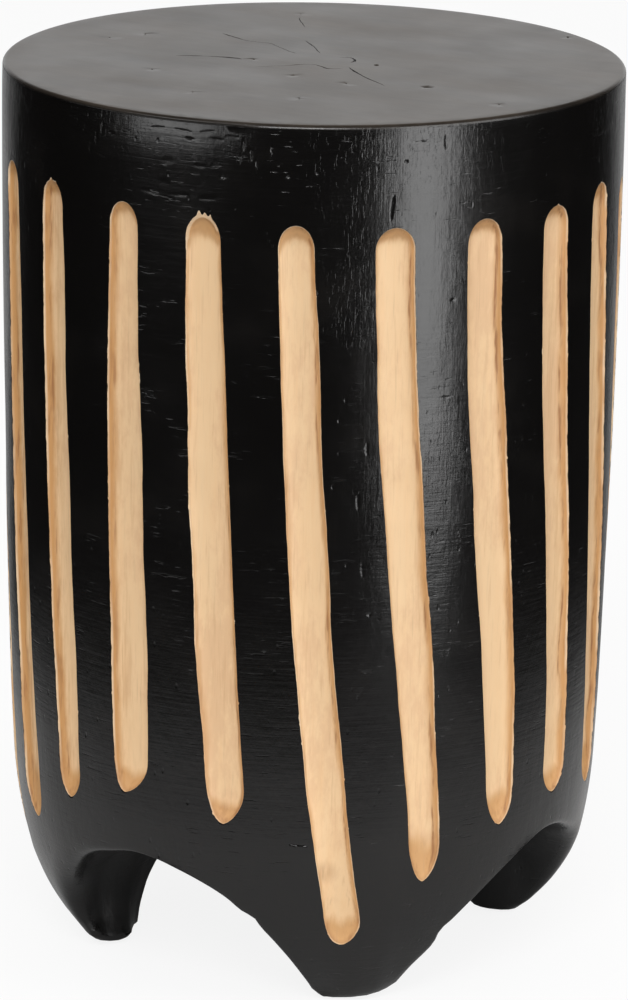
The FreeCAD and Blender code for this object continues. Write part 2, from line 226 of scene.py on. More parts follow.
def shoulderAt(turn, run):  # how far the hand rounding under the rim sinks the side
    s = logSizes["shoulder"]
    turn = (turn + 180) % 360 - 180
    fade = np.interp(turn, s["turns"], (0, 1, 1, 0))
    near = np.clip(1 - (sideRun - run) / s["height"], 0, 1)
    return s["depth"] * fade * fade * (3 - 2 * fade) * near * near


def heelCut(turn, level):
    turns, bulges, floors = zip(*logSizes["heel"]["turns"])
    levels, shares = zip(*logSizes["heel"]["levels"])
    turn = (turn + 75) % 360 - 75
    low = max(0.0, 1 - level / logSizes["heel"]["floor"]) ** 2
    return np.interp(turn, turns, bulges) * np.interp(level, levels, shares) + np.interp(turn, turns, floors) * low


def degreeSize(run):  # millimetres on the side for a degree of turn
    return radiusAt(run) * math.pi / 180


def onSide(turn, run):
    angle, level = math.radians(turn), levelAt(run)
    radius = radiusAt(run) - heelCut(turn, level)
    return radius * math.sin(angle), -radius * math.cos(angle), level


# Marks that each point of the log carries for the carving and the finish, in millimetres
markNames = ("inset", "topShare", "lowShare", "across", "shade", "scars", "dent", "hewn", "sway", "flat")
plainMarks = {"inset": -6.0, "topShare": 5.0, "lowShare": 5.0, "across": 0.0, "shade": 0.5, "scars": 0.0, "dent": 0.0, "hewn": 0.0, "sway": 1.0, "flat": 0.0}


class LogMesh:
    def __init__(self):
        self.points, self.faces, self.marks = [], [], []

    def point(self, place, **marks):
        self.points.append(place)
        self.marks.append([marks.get(name, plainMarks[name]) for name in markNames])
        return len(self.points) - 1

    def strip(self, first, second, closed=False):  # quads between two rows of points
        count = len(first) if closed else len(first) - 1
        for k in range(count):
            n = (k + 1) % len(first)
            self.faces.append((first[k], first[n], second[n], second[k]))

    def fan(self, ring, hub):
        for k in range(len(ring)):
            self.faces.append((ring[k], ring[(k + 1) % len(ring)], hub))


def triangles(flat, loops):  # Delaunay triangles of flat points that keep the edges of the closed loops
    edges = [(loop[k], loop[(k + 1) % len(loop)]) for loop in loops for k in range(len(loop))]
    verts, _, faces, sources, _, _ = geometry.delaunay_2d_cdt([Vector(p) for p in flat], edges, [], 0, 1e-6)
    return [tuple(sources[v][0] for v in face) for face in faces if all(sources[v] for v in face)]


def insideLoop(x, y, loop):
    loop = np.array(loop, float)
    x1, y1 = loop.T
    x2, y2 = np.roll(loop, -1, axis=0).T
    crosses = (y1[:, None] > y) != (y2[:, None] > y)
    with np.errstate(divide="ignore", invalid="ignore"):
        at = (x2 - x1)[:, None] * (y - y1[:, None]) / (y2 - y1)[:, None] + x1[:, None]
    return (crosses & (x < at)).sum(0) % 2 == 1


def hexGrid(x0, x1, y0, y1, step, seed, jitter=0.12):
    draw = np.random.default_rng(seed)
    rows = np.arange(y0, y1, step * 0.866)
    places = [(x + (k % 2) * step / 2, y) for k, y in enumerate(rows) for x in np.arange(x0, x1, step)]
    return np.array(places) + draw.uniform(-jitter, jitter, (len(places), 2)) * step


def clearOf(places, others, gap):  # the places that keep a gap to other points
    cells = {}
    for x, y in others:
        cells.setdefault((int(x // gap), int(y // gap)), []).append((x, y))
    kept = []
    for place in places:
        x, y = place[:2]
        i, j = int(x // gap), int(y // gap)
        near = (q for a in (-1, 0, 1) for b in (-1, 0, 1) for q in cells.get((i + a, j + b), ()))
        if all((x - u) ** 2 + (y - v) ** 2 > gap * gap for u, v in near):
            kept.append(tuple(place))
    return kept


logMesh = LogMesh()

# Flutes: top and low end, and the left and right edges in degrees at levels between them
fluteSizes = {
    "depth": 4.3,
    "reach": 9.0,  # from the edge to where the round floor is level
    "reachTop": 12.5,  # length of the rounded ends
    "reachLow": 15.0,
    "runOutTop": 12.0,  # length over which the gouge dips in and comes out
    "runOutLow": 20.0,
    "point": 1.25,  # 1 is a round low end, more is pointed
    "tip": 0.0,  # how far the point of the low end sits to one side
    "step": 3.0,
    "endSteps": 9,
    "rings": [-1.1, 0, 0.45, 1.0, 1.7, 2.6, 4.0, 6.2, 8.4],
    "edgeWaves": [(105, 0.22), (41, 0.07), (16, 0.03)],
}
seenFlutes = [
    {"top": 460, "low": 82, "reachLow": 20, "runOutLow": 34, "tip": 0.2, "stain": 1.0, "scarSide": -1, "edges": [(446, -43.1, -35.6), (397, -42.2, -35.0), (348, -41.4, -34.0), (299, -41.2, -33.6), (250, -40.4, -32.9), (201, -39.7, -32.0), (152, -39.1, -31.1), (102, -38.1, -30.2)]},
    {"top": 460, "low": 107, "reachLow": 17, "runOutLow": 22, "stain": 0.8, "scarSide": -0.9, "edges": [(446, -25.0, -18.5), (402, -25.0, -18.0), (356, -24.7, -17.6), (310, -24.2, -17.1), (265, -23.8, -16.6), (219, -23.1, -16.1), (173, -22.3, -15.4), (127, -21.6, -15.3)], "torn": [(-0.12, 2.0, 1.4), (0.35, 1.3, 1.0)]},
    {"top": 458, "low": 121, "reachLow": 21, "runOutLow": 14, "tip": -0.4, "stain": 0.45, "scarSide": -0.8, "edges": [(444, -6.3, 0.0), (401, -6.3, 0.2), (358, -6.4, 0.7), (314, -7.0, 1.0), (271, -6.7, 1.4), (228, -6.2, 1.9), (184, -5.9, 2.1), (141, -5.9, 2.1)]},
    {"top": 456.5, "low": 112, "reachTop": 14, "runOutTop": 17, "reachLow": 22, "runOutLow": 13, "tip": -0.15, "stain": 0.15, "scarSide": 0.3, "edges": [(442, 9.7, 16.3), (401, 9.8, 17.0), (356, 10.3, 17.5), (311, 10.7, 18.3), (266, 11.0, 18.7), (222, 11.8, 19.7), (177, 13.0, 20.6), (132, 14.2, 21.3)], "torn": [(-0.22, 3.4, 1.5), (0.12, 2.2, 1.2), (0.42, 2.0, 1.0)], "chipped": 15.0},
    {"top": 453.5, "low": 39, "reachLow": 18, "point": 1.1, "runOutTop": 14, "runOutLow": 19, "stain": 0.1, "scarSide": 0.6, "edges": [(440, 26.7, 33.1), (385, 27.1, 34.1), (331, 28.0, 35.0), (276, 29.2, 36.2), (222, 30.1, 37.3), (168, 31.9, 39.1), (113, 34.2, 41.4), (59, 36.9, 43.9)]},
    {"top": 452, "low": 76, "reachLow": 24, "runOutTop": 11, "runOutLow": 31, "stain": 0.15, "scarSide": 0.8, "edges": [(438, 44.0, 51.0), (390, 44.3, 51.8), (340, 45.0, 52.5), (292, 46.4, 54.0), (242, 48.2, 55.4), (194, 49.9, 57.2), (144, 51.4, 58.2), (96, 53.4, 59.6)]},
    {"top": 453, "low": 102, "reachLow": 22, "runOutTop": 10, "stain": 0.2, "scarSide": 1, "edges": [(440, 61.4, 68.5), (395, 61.4, 69.1), (349, 62.3, 70.1), (304, 63.8, 71.9), (258, 65.3, 73.2), (213, 66.7, 74.6), (167, 67.9, 75.8), (122, 70.0, 76.6)]},
    {"top": 453, "low": 110, "reachLow": 16, "runOutTop": 9, "runOutLow": 15, "stain": 0.45, "scarSide": 1, "edges": [(440, 78.8, 85.8), (395, 78.7, 86.2), (351, 79.7, 87.1), (307, 81.3, 88.7), (263, 82.6, 90.0), (219, 83.7, 91.5), (175, 84.5, 92.3), (130, 85.9, 93.1)], "torn": [(0.1, 1.2, 1.2)]},
    {"top": 457, "low": 100, "reachLow": 17, "stain": 0.5, "scarSide": 1, "edges": [(443, 94.4, 101.8), (397, 94.8, 102.6), (351, 95.8, 103.8), (304, 97.0, 105.6), (258, 98.6, 108.0), (212, 100.2, 109.8), (166, 101.3, 110.8), (120, 103.3, 111.6)]},
]
hiddenFlutes = {  # turn at the top, turn at the low end, top and low level
    "runs": [(114.4, 121.5, 450, 70), (133, 139.5, 454, 45), (150, 155, 460, 85), (166.5, 171, 456, 107), (184, 188.5, 452, 115), (201, 207, 457, 91), (218.5, 226.5, 461, 42), (235, 242, 456, 66), (252.5, 257, 452, 104), (269.5, 273, 458, 118), (286.5, 291.5, 455, 96), (303.5, 310.5, 459, 48)],
    "topWidths": (6.5, 7.3),
    "midWidths": (7.2, 8.6),
    "lowWidths": (6.6, 7.8),
    "bend": 0.7,
    "seed": 41,
}


def hiddenEdges(values):
    draw = random.Random(values["seed"])
    made = []
    for topTurn, lowTurn, top, low in values["runs"]:
        widths = [draw.uniform(*values[name]) for name in ("topWidths", "midWidths", "lowWidths")]
        bend = draw.uniform(-1, 1) * values["bend"]
        edges = []
        for share in np.linspace(0, 1, 7):
            level = top - 14 + (low + 20 - top + 14) * share
            middle = topTurn + (lowTurn - topTurn) * (0.3 * share + 0.7 * share**1.6) + bend * math.sin(math.pi * share)
            half = np.interp(share, (0, 0.5, 1), widths) / 2 + draw.uniform(-0.15, 0.15)
            edges.append((level, middle - half, middle + half))
        made.append({"top": top, "low": low, "reachLow": draw.uniform(12, 18), "runOutTop": draw.uniform(7, 12), "runOutLow": draw.uniform(13, 26), "edges": edges})
    return made


def readyFlute(flute, index):  # the same flute as functions of the run up the side
    ready = {**fluteSizes, **flute, "topRun": runAt(flute["top"]), "lowRun": runAt(flute["low"])}
    stations = [(runAt(level), left, right) for level, left, right in flute["edges"]]
    runs = np.array([run for run, _, _ in stations])
    lowest, longest = runs.min(), np.ptp(runs)
    middleFit = np.polynomial.Polynomial.fit(runs, [(left + right) / 2 for _, left, right in stations], 3)
    halfFit = np.polynomial.Polynomial.fit(runs, [(right - left) / 2 * degreeSize(run) for run, left, right in stations], 2)

    def held(fit, run):  # level past the stations at both ends
        return fit(np.clip(run, lowest - 8, lowest + longest + 6))
    shift = unevenLine(500 + index, fluteSizes["edgeWaves"])
    swell = unevenLine(900 + index, fluteSizes["edgeWaves"])
    ready["middle"] = lambda run: held(middleFit, run) + shift(run) / degreeSize(run)
    ready["half"] = lambda run: held(halfFit, run) + swell(run)
    narrowest = min(ready["half"](run) for run in runs)
    ready["rings"] = [ring for ring in fluteSizes["rings"] if ring < narrowest - 1.2]
    ready["scarSide"] = flute.get("scarSide", random.Random(13 + index).uniform(-1, 1))
    ready["stain"] = flute.get("stain", random.Random(77 + index).uniform(0.2, 0.75))
    return ready


def fluteRing(flute, inset):  # a closed ring of points at one distance inside the flute's edge
    s = flute
    lowEnd, topEnd = s["lowRun"] + inset, s["topRun"] - inset
    reachLow, reachTop = max(s["reachLow"] - inset, 0.8), max(s["reachTop"] - inset, 0.8)
    quarter = np.linspace(0, math.pi / 2, s["endSteps"] * (2 if "torn" in s else 1) + 1)
    count = int((s["topRun"] - s["lowRun"] - s["reachLow"] - s["reachTop"]) / s["step"])
    middle = np.linspace(lowEnd + reachLow, topEnd - reachTop, count + 2)[1:-1]
    runs = np.concatenate([lowEnd + reachLow * (1 - np.cos(quarter)), middle, topEnd - reachTop * (1 - np.cos(quarter[::-1]))])
    widths = np.concatenate([np.sin(quarter) ** s["point"], np.ones(count), np.sin(quarter[::-1])])
    left, right = [], []
    for run, width in zip(runs, widths):
        lean = s["tip"] * s["half"](run) * max(0.0, 1 - (run - s["lowRun"]) / s["reachLow"]) ** 2
        half = max(s["half"](run) - inset, 0.3) * width
        for side, rows in ((-1, left), (1, right)):
            across = side * half
            rise = 0.0
            if inset <= 0.5 and run > s["topRun"] - s["reachTop"]:
                rise = sum(up * max(0, 1 - abs(across / s["half"](run) - at) * s["half"](run) / wide) for at, up, wide in s.get("torn", ()))
            place = run + rise * (1 if inset <= 0 else 0.7)
            rows.append((s["middle"](run) + (across + lean) / degreeSize(run), place, across / s["half"](run), topEnd + inset - place, place - lowEnd + inset))
    return left + right[-2:0:-1]


def addFlute(flute):
    rings = []
    for inset in flute["rings"]:
        ring = []
        for turn, run, across, fromTop, fromLow in fluteRing(flute, inset):
            torn = flute.get("chipped", -9) * (1 - 0.25 * across)
            chipped = float(easeBetween(torn - fromTop, 0, 4)) if 0 < inset < 2 else 0.0  # a torn bevel, shallow and pale
            marks = {"inset": inset + (0.28 + 0.06 * inset - inset) * chipped, "topShare": fromTop / flute["runOutTop"], "lowShare": fromLow / flute["runOutLow"]}
            marks.update(across=across, shade=flute["stain"], scars=across * flute["scarSide"])
            ring.append(logMesh.point(onSide(turn, run), **marks))
        rings.append(ring)
    for outer, inner in zip(rings, rings[1:]):
        logMesh.strip(outer, inner, True)
    last = rings[-1]
    half = len(last) // 2
    logMesh.strip(last[:half + 1], [last[0]] + last[:half - 1:-1])  # a ladder over the floor
    return rings[0]


flutes = [readyFlute(flute, index) for index, flute in enumerate(seenFlutes + hiddenEdges(hiddenFlutes))]
fluteRings = [addFlute(flute) for flute in flutes]
print("flutes:", len(flutes), "points:", len(logMesh.points))

# The two tunnels that cross under the drum and leave the four legs
tunnelSizes = {
    "throat": 68.0,  # half width where they cross
    "crown": 86.5,
    "flare": [(0, 0), (77, 0), (86, 0.12), (97, 0.5), (106, 0.82), (131, 1), (178, 1.06)],  # reach from the axis, share of the opening out
    "cornerRounds": (6.0, 14.0, 9.0, 1.5),  # on each leg, front right first and on round to the left
    "footRounds": (3.0, 6.5),  # at the inner corner and at the outer edge
    "footReach": (90.0, 106.0),
    "toeHeight": 55.0,
    "toeReach": 30.0,  # over which a toe swells, out from the rounded corner
    "footLevels": [0, 0.3, 0.9, 1.9],
    "steps": 32,
    "rows": 22,
    "fade": (82.0, 135.0),
    "seedWaves": [(33, 0.011), (61, 0.010), (14, 0.003)],
}
mouths = [
    {"turn": 0, "half": 82.0, "crown": 85.0, "toes": (1.5, 17), "arris": [(0, 2.5), (30, 2), (95, 1.8), (112, 5), (130, 12), (148, 15), (165, 13), (180, 8)], "edge": [(0, 1), (14, 0.982), (28, 0.975), (38, 0.985), (41, 0.998), (44, 0.981), (53, 0.985), (64, 0.984), (74, 0.988), (85, 1.004), (95, 1.01), (105, 1), (116, 1.004), (127, 1), (139, 0.99), (160, 1), (180, 1)]},
    {"turn": 90, "half": 78.0, "crown": 88.0, "toes": (1, 1.5), "arris": [(0, 9), (30, 9), (60, 8), (80, 4), (92, 2), (150, 2.5), (168, 6), (180, 9)], "edge": [(0, 1), (30, 1.003), (51, 0.996), (62, 0.968), (73, 0.972), (84, 0.992), (95, 1.006), (106, 0.994), (118, 0.977), (125, 0.974), (133, 0.975), (142, 0.983), (148, 0.993), (152.5, 1.009), (157, 0.976), (170, 1.0), (180, 1)]},
    {"turn": 180, "half": 80.5, "crown": 86.0, "toes": (5, 3), "arris": [(0, 10), (20, 7), (50, 3), (130, 3), (160, 6), (180, 10)], "seed": 7},
    {"turn": 270, "half": 79.5, "crown": 86.5, "toes": (3, 6), "arris": [(0, 12), (20, 8), (50, 4), (130, 3), (160, 5), (180, 9)], "seed": 19},
]
flareReach, flareShare = zip(*tunnelSizes["flare"])


def mouthEdge(mouth):
    if "edge" in mouth:
        return smoothLine(mouth["edge"])
    wave = unevenLine(mouth["seed"], tunnelSizes["seedWaves"])
    return lambda angle: 1 + wave(angle) * math.sin(math.radians(angle))


def wallAt(mouth, angle, reach):  # place on a tunnel's wall: across it, and up
    s = tunnelSizes
    opened = np.interp(reach, flareReach, flareShare)
    turn = math.radians(angle)
    side = 1 if angle < 90 else -1 if angle > 90 else 0
    uneven = 1 + (mouth["edgeLine"](angle) - 1) * easeBetween(reach, *s["fade"])
    across = (s["throat"] + (mouth["half"] - s["throat"]) * opened) * abs(math.cos(turn)) * uneven
    level = (s["crown"] + (mouth["crown"] - s["crown"]) * opened) * math.sin(turn) * uneven
    if angle in (0, 180):
        level = 0.0
    toe = mouth["toes"][0 if side > 0 else 1] * max(0.0, 1 - level / s["toeHeight"]) ** 2
    corner, cornerRound = cornerAt(mouth, angle)
    across -= toe * easeBetween(reach, corner + cornerRound, corner + cornerRound + s["toeReach"])
    footRound = s["footRounds"][0] + (s["footRounds"][1] - s["footRounds"][0]) * easeBetween(reach, *s["footReach"])
    if level < footRound:
        across += footRound - math.sqrt(footRound**2 - (footRound - level) ** 2)
    if reach < corner + cornerRound:
        across += cornerRound - math.sqrt(max(0, cornerRound**2 - (corner + cornerRound - reach) ** 2))
    return side * across, level


def cornerAt(mouth, angle):  # where the walls of the two tunnels meet, and the rounding there
    s = tunnelSizes
    level = 0.0 if angle in (0, 180) else s["crown"] * math.sin(math.radians(angle))
    corner = s["throat"] * abs(math.cos(math.radians(angle))) if angle != 90 else 0.0
    footRound = s["footRounds"][0]
    if level < footRound:
        corner += footRound - math.sqrt(footRound**2 - (footRound - level) ** 2)
    leg = mouths.index(mouth) - (0 if angle < 90 else 1)
    return corner, min(s["cornerRounds"][leg] * (1 - 0.5 * level / s["crown"]), corner / 2)


def mouthPlace(mouth, across, reach, level):
    turn = math.radians(mouth["turn"])
    return (math.sin(turn) * reach + math.cos(turn) * across, -math.cos(turn) * reach + math.sin(turn) * across, level)


def tunnelAngles():
    s = tunnelSizes
    first = [math.degrees(math.asin(level / s["crown"])) for level in s["footLevels"]]
    rest = np.linspace(first[-1], 90, s["steps"] + 1)[1:]
    quarter = first + [float(a) for a in rest]
    quarter[-1] = 90.0
    return quarter + [180 - a for a in quarter[-2::-1]]


def edgeReach(mouth, angle):  # how far out the wall meets the drum's side
    near, far = 80.0, 180.0
    for _ in range(48):
        reach = (near + far) / 2
        across, level = wallAt(mouth, angle, reach)
        turn = mouth["turn"] + math.degrees(math.atan2(across, reach))
        if math.hypot(across, reach) < radiusAt(runAt(level)) - heelCut(turn, level):
            near = reach
        else:
            far = reach
    return reach


def addTunnel(mouth):
    s = tunnelSizes
    mouth["edgeLine"], mouth["arrisLine"] = mouthEdge(mouth), smoothLine(mouth["arris"])
    angles = tunnelAngles()
    edge = []  # the sharp edge, in the flat pattern
    for angle in angles:
        reach = edgeReach(mouth, angle)
        across, level = wallAt(mouth, angle, reach)
        run = 0.0 if level == 0 else float(runAt(level))
        edge.append((math.degrees(math.atan2(across, reach)), run, reach, across, level))
    rows, outer = [], []
    for k, angle in enumerate(angles):
        turn, run, reach, across, level = edge[k]
        if k in (0, len(angles) - 1):
            away = np.array([1.0 if k == 0 else -1.0, 0.0])
        else:
            before, after = edge[k - 1], edge[k + 1]
            line = np.array([(after[0] - before[0]) * degreeSize(run), after[1] - before[1]])
            away = np.array([line[1], -line[0]]) / np.hypot(*line)
        arris = float(mouth["arrisLine"](angle))
        outTurn = mouth["turn"] + turn + away[0] * arris / degreeSize(run)
        outRun = max(0.0, run + away[1] * arris)
        outPlace = np.array(onSide(outTurn, outRun))
        edgePlace = np.array(mouthPlace(mouth, across, reach, level))
        inAcross, inLevel = wallAt(mouth, angle, reach - arris)
        inPlace = np.array(mouthPlace(mouth, inAcross, reach - arris, inLevel))
        corner, cornerRound = cornerAt(mouth, angle)
        reaches = [corner + cornerRound - cornerRound * math.sin(math.radians(bend)) for bend in (45, 30, 15, 0)]
        reaches += list(np.linspace(corner + cornerRound, reach - arris, s["rows"] + 1)[1:])
        held = 0.0 if level < 0.01 else min(1.0, level / 10)
        row = []
        for n, at in enumerate(reaches):
            wallAcross, wallLevel = wallAt(mouth, angle, at)
            fade = held * min(1.0, (len(reaches) - 1 - n) / 3 + 0.25)
            row.append(logMesh.point(mouthPlace(mouth, wallAcross, at, wallLevel), hewn=fade, sway=0.0))
        for share in (0.75, 0.5, 0.25):
            place = (1 - share) ** 2 * outPlace + 2 * share * (1 - share) * edgePlace + share**2 * inPlace
            row.append(logMesh.point(tuple(place), hewn=0.15 * held, sway=0.3 * held))
        sway = 0.0 if outRun < 0.01 else min(1.0, outRun / 12)
        row.append(logMesh.point(tuple(outPlace), sway=sway))
        rows.append(row)
        outer.append((outTurn, outRun, row[-1]))
    for first, second in zip(rows, rows[1:]):
        logMesh.strip(first, second)
    return {"rows": rows, "outer": outer}


tunnels = [addTunnel(mouth) for mouth in mouths]
print("tunnels: points", len(logMesh.points))

# The side between the flutes, as a flat pattern that is cut out and wrapped round
dentSizes = {  # turn, level, width, height and depth of nicks, cracks and dents left by the tools
    "marks": [
        (3.9, 501, 9, 1.4, 0.25), (8.9, 501, 11, 1.4, 0.3), (13.5, 501.5, 9, 1.4, 0.25), (15.3, 498, 9, 1.5, 0.25), (18.2, 500, 8, 1.4, 0.25),
        (10.2, 497, 6, 1.2, 0.4), (20.2, 496, 1.3, 7, 0.7), (21.6, 491, 1.8, 8, 0.8), (22.6, 486, 1.3, 6, 0.6), (19.6, 488, 1.3, 5, 0.5),
        (25.2, 494, 1.4, 6, 0.6), (16.6, 478, 3.4, 2.0, 0.8), (28.2, 480, 2.6, 2.2, 0.7), (33.3, 482, 1.6, 1.6, 0.5), (26.5, 486, 1.6, 1.6, 0.4),
        (6.2, 484, 8, 2.6, 0.2), (12.4, 483, 8, 1.5, 0.2), (5.5, 472, 7, 3, 0.2), (2.6, 466, 12, 1.6, 0.2), (8.4, 466, 12, 1.6, 0.2),
        (13.8, 465.5, 11, 1.6, 0.2), (31.8, 102, 11, 1.1, 0.8), (89.0, 93.5, 2.4, 2.6, 1.3), (46.7, 463, 1.3, 15, 0.6), (-8.4, 496, 1.4, 7, 0.4),
        (-9.6, 490, 1.4, 7, 0.4), (-6.0, 494, 5, 1.3, 0.4), (-11, 484, 1.4, 8, 0.3), (56.5, 497, 1.4, 9, 0.4), (51.7, 498, 8, 1.3, 0.4),
        (49.0, 488, 2.2, 2.2, 0.5), (70, 300, 4, 1.3, 0.3), (57.5, 356, 5, 1.3, 0.3), (58.5, 410, 3.2, 2.2, 0.3), (43.0, 330, 1.3, 8, 0.4),
        (41.5, 300, 1.3, 10, 0.4), (42.6, 262, 1.3, 9, 0.4), (44.1, 236, 2.6, 2.2, 0.4), (25, 214, 3, 1.4, 0.4), (7.5, 300, 1.3, 7, 0.3),
    ],
    "scattered": 40,
    "small": (1.2, 1.8),
    "long": (2.5, 9.0),
    "depths": (0.2, 0.4),
    "seed": 5,
}


def dentList(values):
    draw = random.Random(values["seed"])
    made = list(values["marks"])
    for _ in range(values["scattered"]):
        sizes = [draw.uniform(*values["small"]), draw.uniform(*values["long"])]
        if draw.random() < 0.4:
            sizes.reverse()
        made.append((draw.uniform(75, 275), draw.uniform(110, 498), *sizes, draw.uniform(*values["depths"])))
    return made


def dentPoints(number, x, y, width, height, depth):  # places and depths of one mark: a dish, or a groove if it is long
    draw = random.Random(number)
    if max(width, height) < 2.2 * min(width, height):
        rings = ((0, 1, 1), (0.5, 0.62, 6), (1, 0, 9), (1.8, 0, 8))
        made = []
        for size, share, count in rings:
            for angle in np.linspace(0, math.tau, count, endpoint=False) + size:
                made.append((x + width / 2 * size * math.cos(angle), y + height / 2 * size * math.sin(angle), depth * share))
        return made
    long, short = max(width, height), min(width, height)
    lean = draw.uniform(-0.12, 0.12)
    made = []
    for along in np.linspace(-1, 1, int(long / 1.1) + 2):
        bend = draw.uniform(-0.25, 0.25) + along * long / 2 * lean
        deep = depth * (1 - along**4) * draw.uniform(0.6, 1)
        for side, share in ((0, 1), (-0.5, 0), (0.5, 0), (-1.4, 0), (1.4, 0)):
            a, b = along * long / 2, bend + side * short * (1 - 0.4 * along * along)
            made.append((x + a, y + b, deep * share) if width > height else (x + b, y + a, deep * share))
    return made


def addSide():
    scale = logSizes["sheetScale"]
    seamRows = tunnels[3]["outer"]
    turns = [turn for turn, _, _ in seamRows]
    seam = int(np.argmin(np.abs(np.array(turns) - 280)))  # the seam runs up from a point of the last mouth
    flat, ids = [], []

    def keep(turn, run, index):
        flat.append((turn * scale, run))
        ids.append(index)
        return len(flat) - 1

    footLines = []
    loop = [keep(turn - 360, run, index) for turn, run, index in seamRows[seam::-1]]
    for number in range(4):
        outer = tunnels[number]["outer"][::-1]  # from the left foot to the right
        start = flat[loop[-1]][0] / scale
        end = outer[0][0]
        steps = max(2, int((end - start) * degreeSize(0) / 3))
        line = [ids[loop[-1]]]
        for turn in np.linspace(start, end, steps + 1)[1:-1]:
            loop.append(keep(turn, 0.0, logMesh.point(onSide(turn, 0.0), sway=0.0)))
            line.append(ids[loop[-1]])
        line.append(outer[0][2])
        footLines.append(line)
        stop = len(outer) if number < 3 else len(outer) - seam
        loop += [keep(turn, run, index) for turn, run, index in outer[:stop]]
    lowerEdge = np.array([flat[k] for k in loop])
    leftTurn, rightTurn = lowerEdge[0, 0] / scale, lowerEdge[-1, 0] / scale
    runs = np.linspace(lowerEdge[0, 1], sideRun, int((sideRun - lowerEdge[0, 1]) / 4) + 1)[1:-1]
    loop += [keep(rightTurn, run, logMesh.point(onSide(rightTurn, run))) for run in runs]
    rimTurns = np.linspace(leftTurn, rightTurn, logSizes["rimSteps"] + 1)
    rim = [logMesh.point(onSide(turn, sideRun), sway=0.35, dent=shoulderAt(turn, sideRun)) for turn in rimTurns]
    loop += [keep(leftTurn + (rightTurn - leftTurn) * k / logSizes["rimSteps"], sideRun, rim[k]) for k in range(logSizes["rimSteps"], -1, -1)]
    loop += [keep(leftTurn, run, logMesh.point(onSide(leftTurn, run))) for run in runs[::-1]]
    holes = []
    for flute, ring in zip(flutes, fluteRings):
        shift = -360 if flute["middle"](flute["topRun"]) > rightTurn else 0
        places = fluteRing(flute, flute["rings"][0])
        holes.append([keep(place[0] + shift, place[1], index) for place, index in zip(places, ring)])
    holeLoops = [[flat[k] for k in hole] for hole in holes]

    def outsideFlutes(places):
        for hole in holeLoops:
            xs, ys = zip(*hole)
            near = (places[:, 0] > min(xs)) & (places[:, 0] < max(xs)) & (places[:, 1] > min(ys)) & (places[:, 1] < max(ys))
            near[near] = insideLoop(places[near, 0], places[near, 1], hole)
            places = places[~near]
        return places

    dents = []
    for number, (turn, level, width, height, depth) in enumerate(dentList(dentSizes)):
        x, y = turn * scale, float(runAt(level))
        if turn < leftTurn + 3 or turn > rightTurn - 3 or y < np.interp(x, lowerEdge[:, 0], lowerEdge[:, 1]) + 5:
            continue
        if y + height / 2 < sideRun - 1.5:
            dents += dentPoints(number, x, y, width, height, depth)
    dents = clearOf(outsideFlutes(np.array(dents)), flat, 0.8)
    placed = []
    for x, y, dent in dents:
        if all((x - u) ** 2 + (y - v) ** 2 > 0.12 for u, v in placed):
            placed.append((x, y))
            keep(x / scale, y, logMesh.point(onSide(x / scale, y), dent=dent + shoulderAt(x / scale, y)))
    grid = hexGrid(leftTurn * scale + 2, rightTurn * scale - 1, 2.5, sideRun - 1.5, logSizes["landStep"], 3)
    grid = grid[grid[:, 1] > np.interp(grid[:, 0], lowerEdge[:, 0], lowerEdge[:, 1]) + 1.5]
    grid = outsideFlutes(grid)
    grid = clearOf(grid, flat, 2.3)
    for x, y in grid:
        sway = min(1.0, y / 12, 0.35 + (sideRun - y) / 12)
        keep(x / scale, y, logMesh.point(onSide(x / scale, y), sway=sway, dent=shoulderAt(x / scale, y)))
    holeOf = {k: n for n, hole in enumerate(holes) for k in hole}
    faces = triangles(flat, [loop] + holes)
    centres = np.array([np.mean([flat[k] for k in face], axis=0) for face in faces])
    keepFace = insideLoop(centres[:, 0], centres[:, 1], [flat[k] for k in loop])
    for n, face in enumerate(faces):
        group = {holeOf.get(k, -1) for k in face}
        if keepFace[n] and len(group) == 1 and -1 not in group:
            keepFace[n] = not insideLoop(centres[n:n + 1, 0], centres[n:n + 1, 1], holeLoops[group.pop()])[0]
        if keepFace[n]:
            logMesh.faces.append(tuple(ids[k] for k in face))
    return rim, footLines


rim, footLines = addSide()
print("side: points", len(logMesh.points))

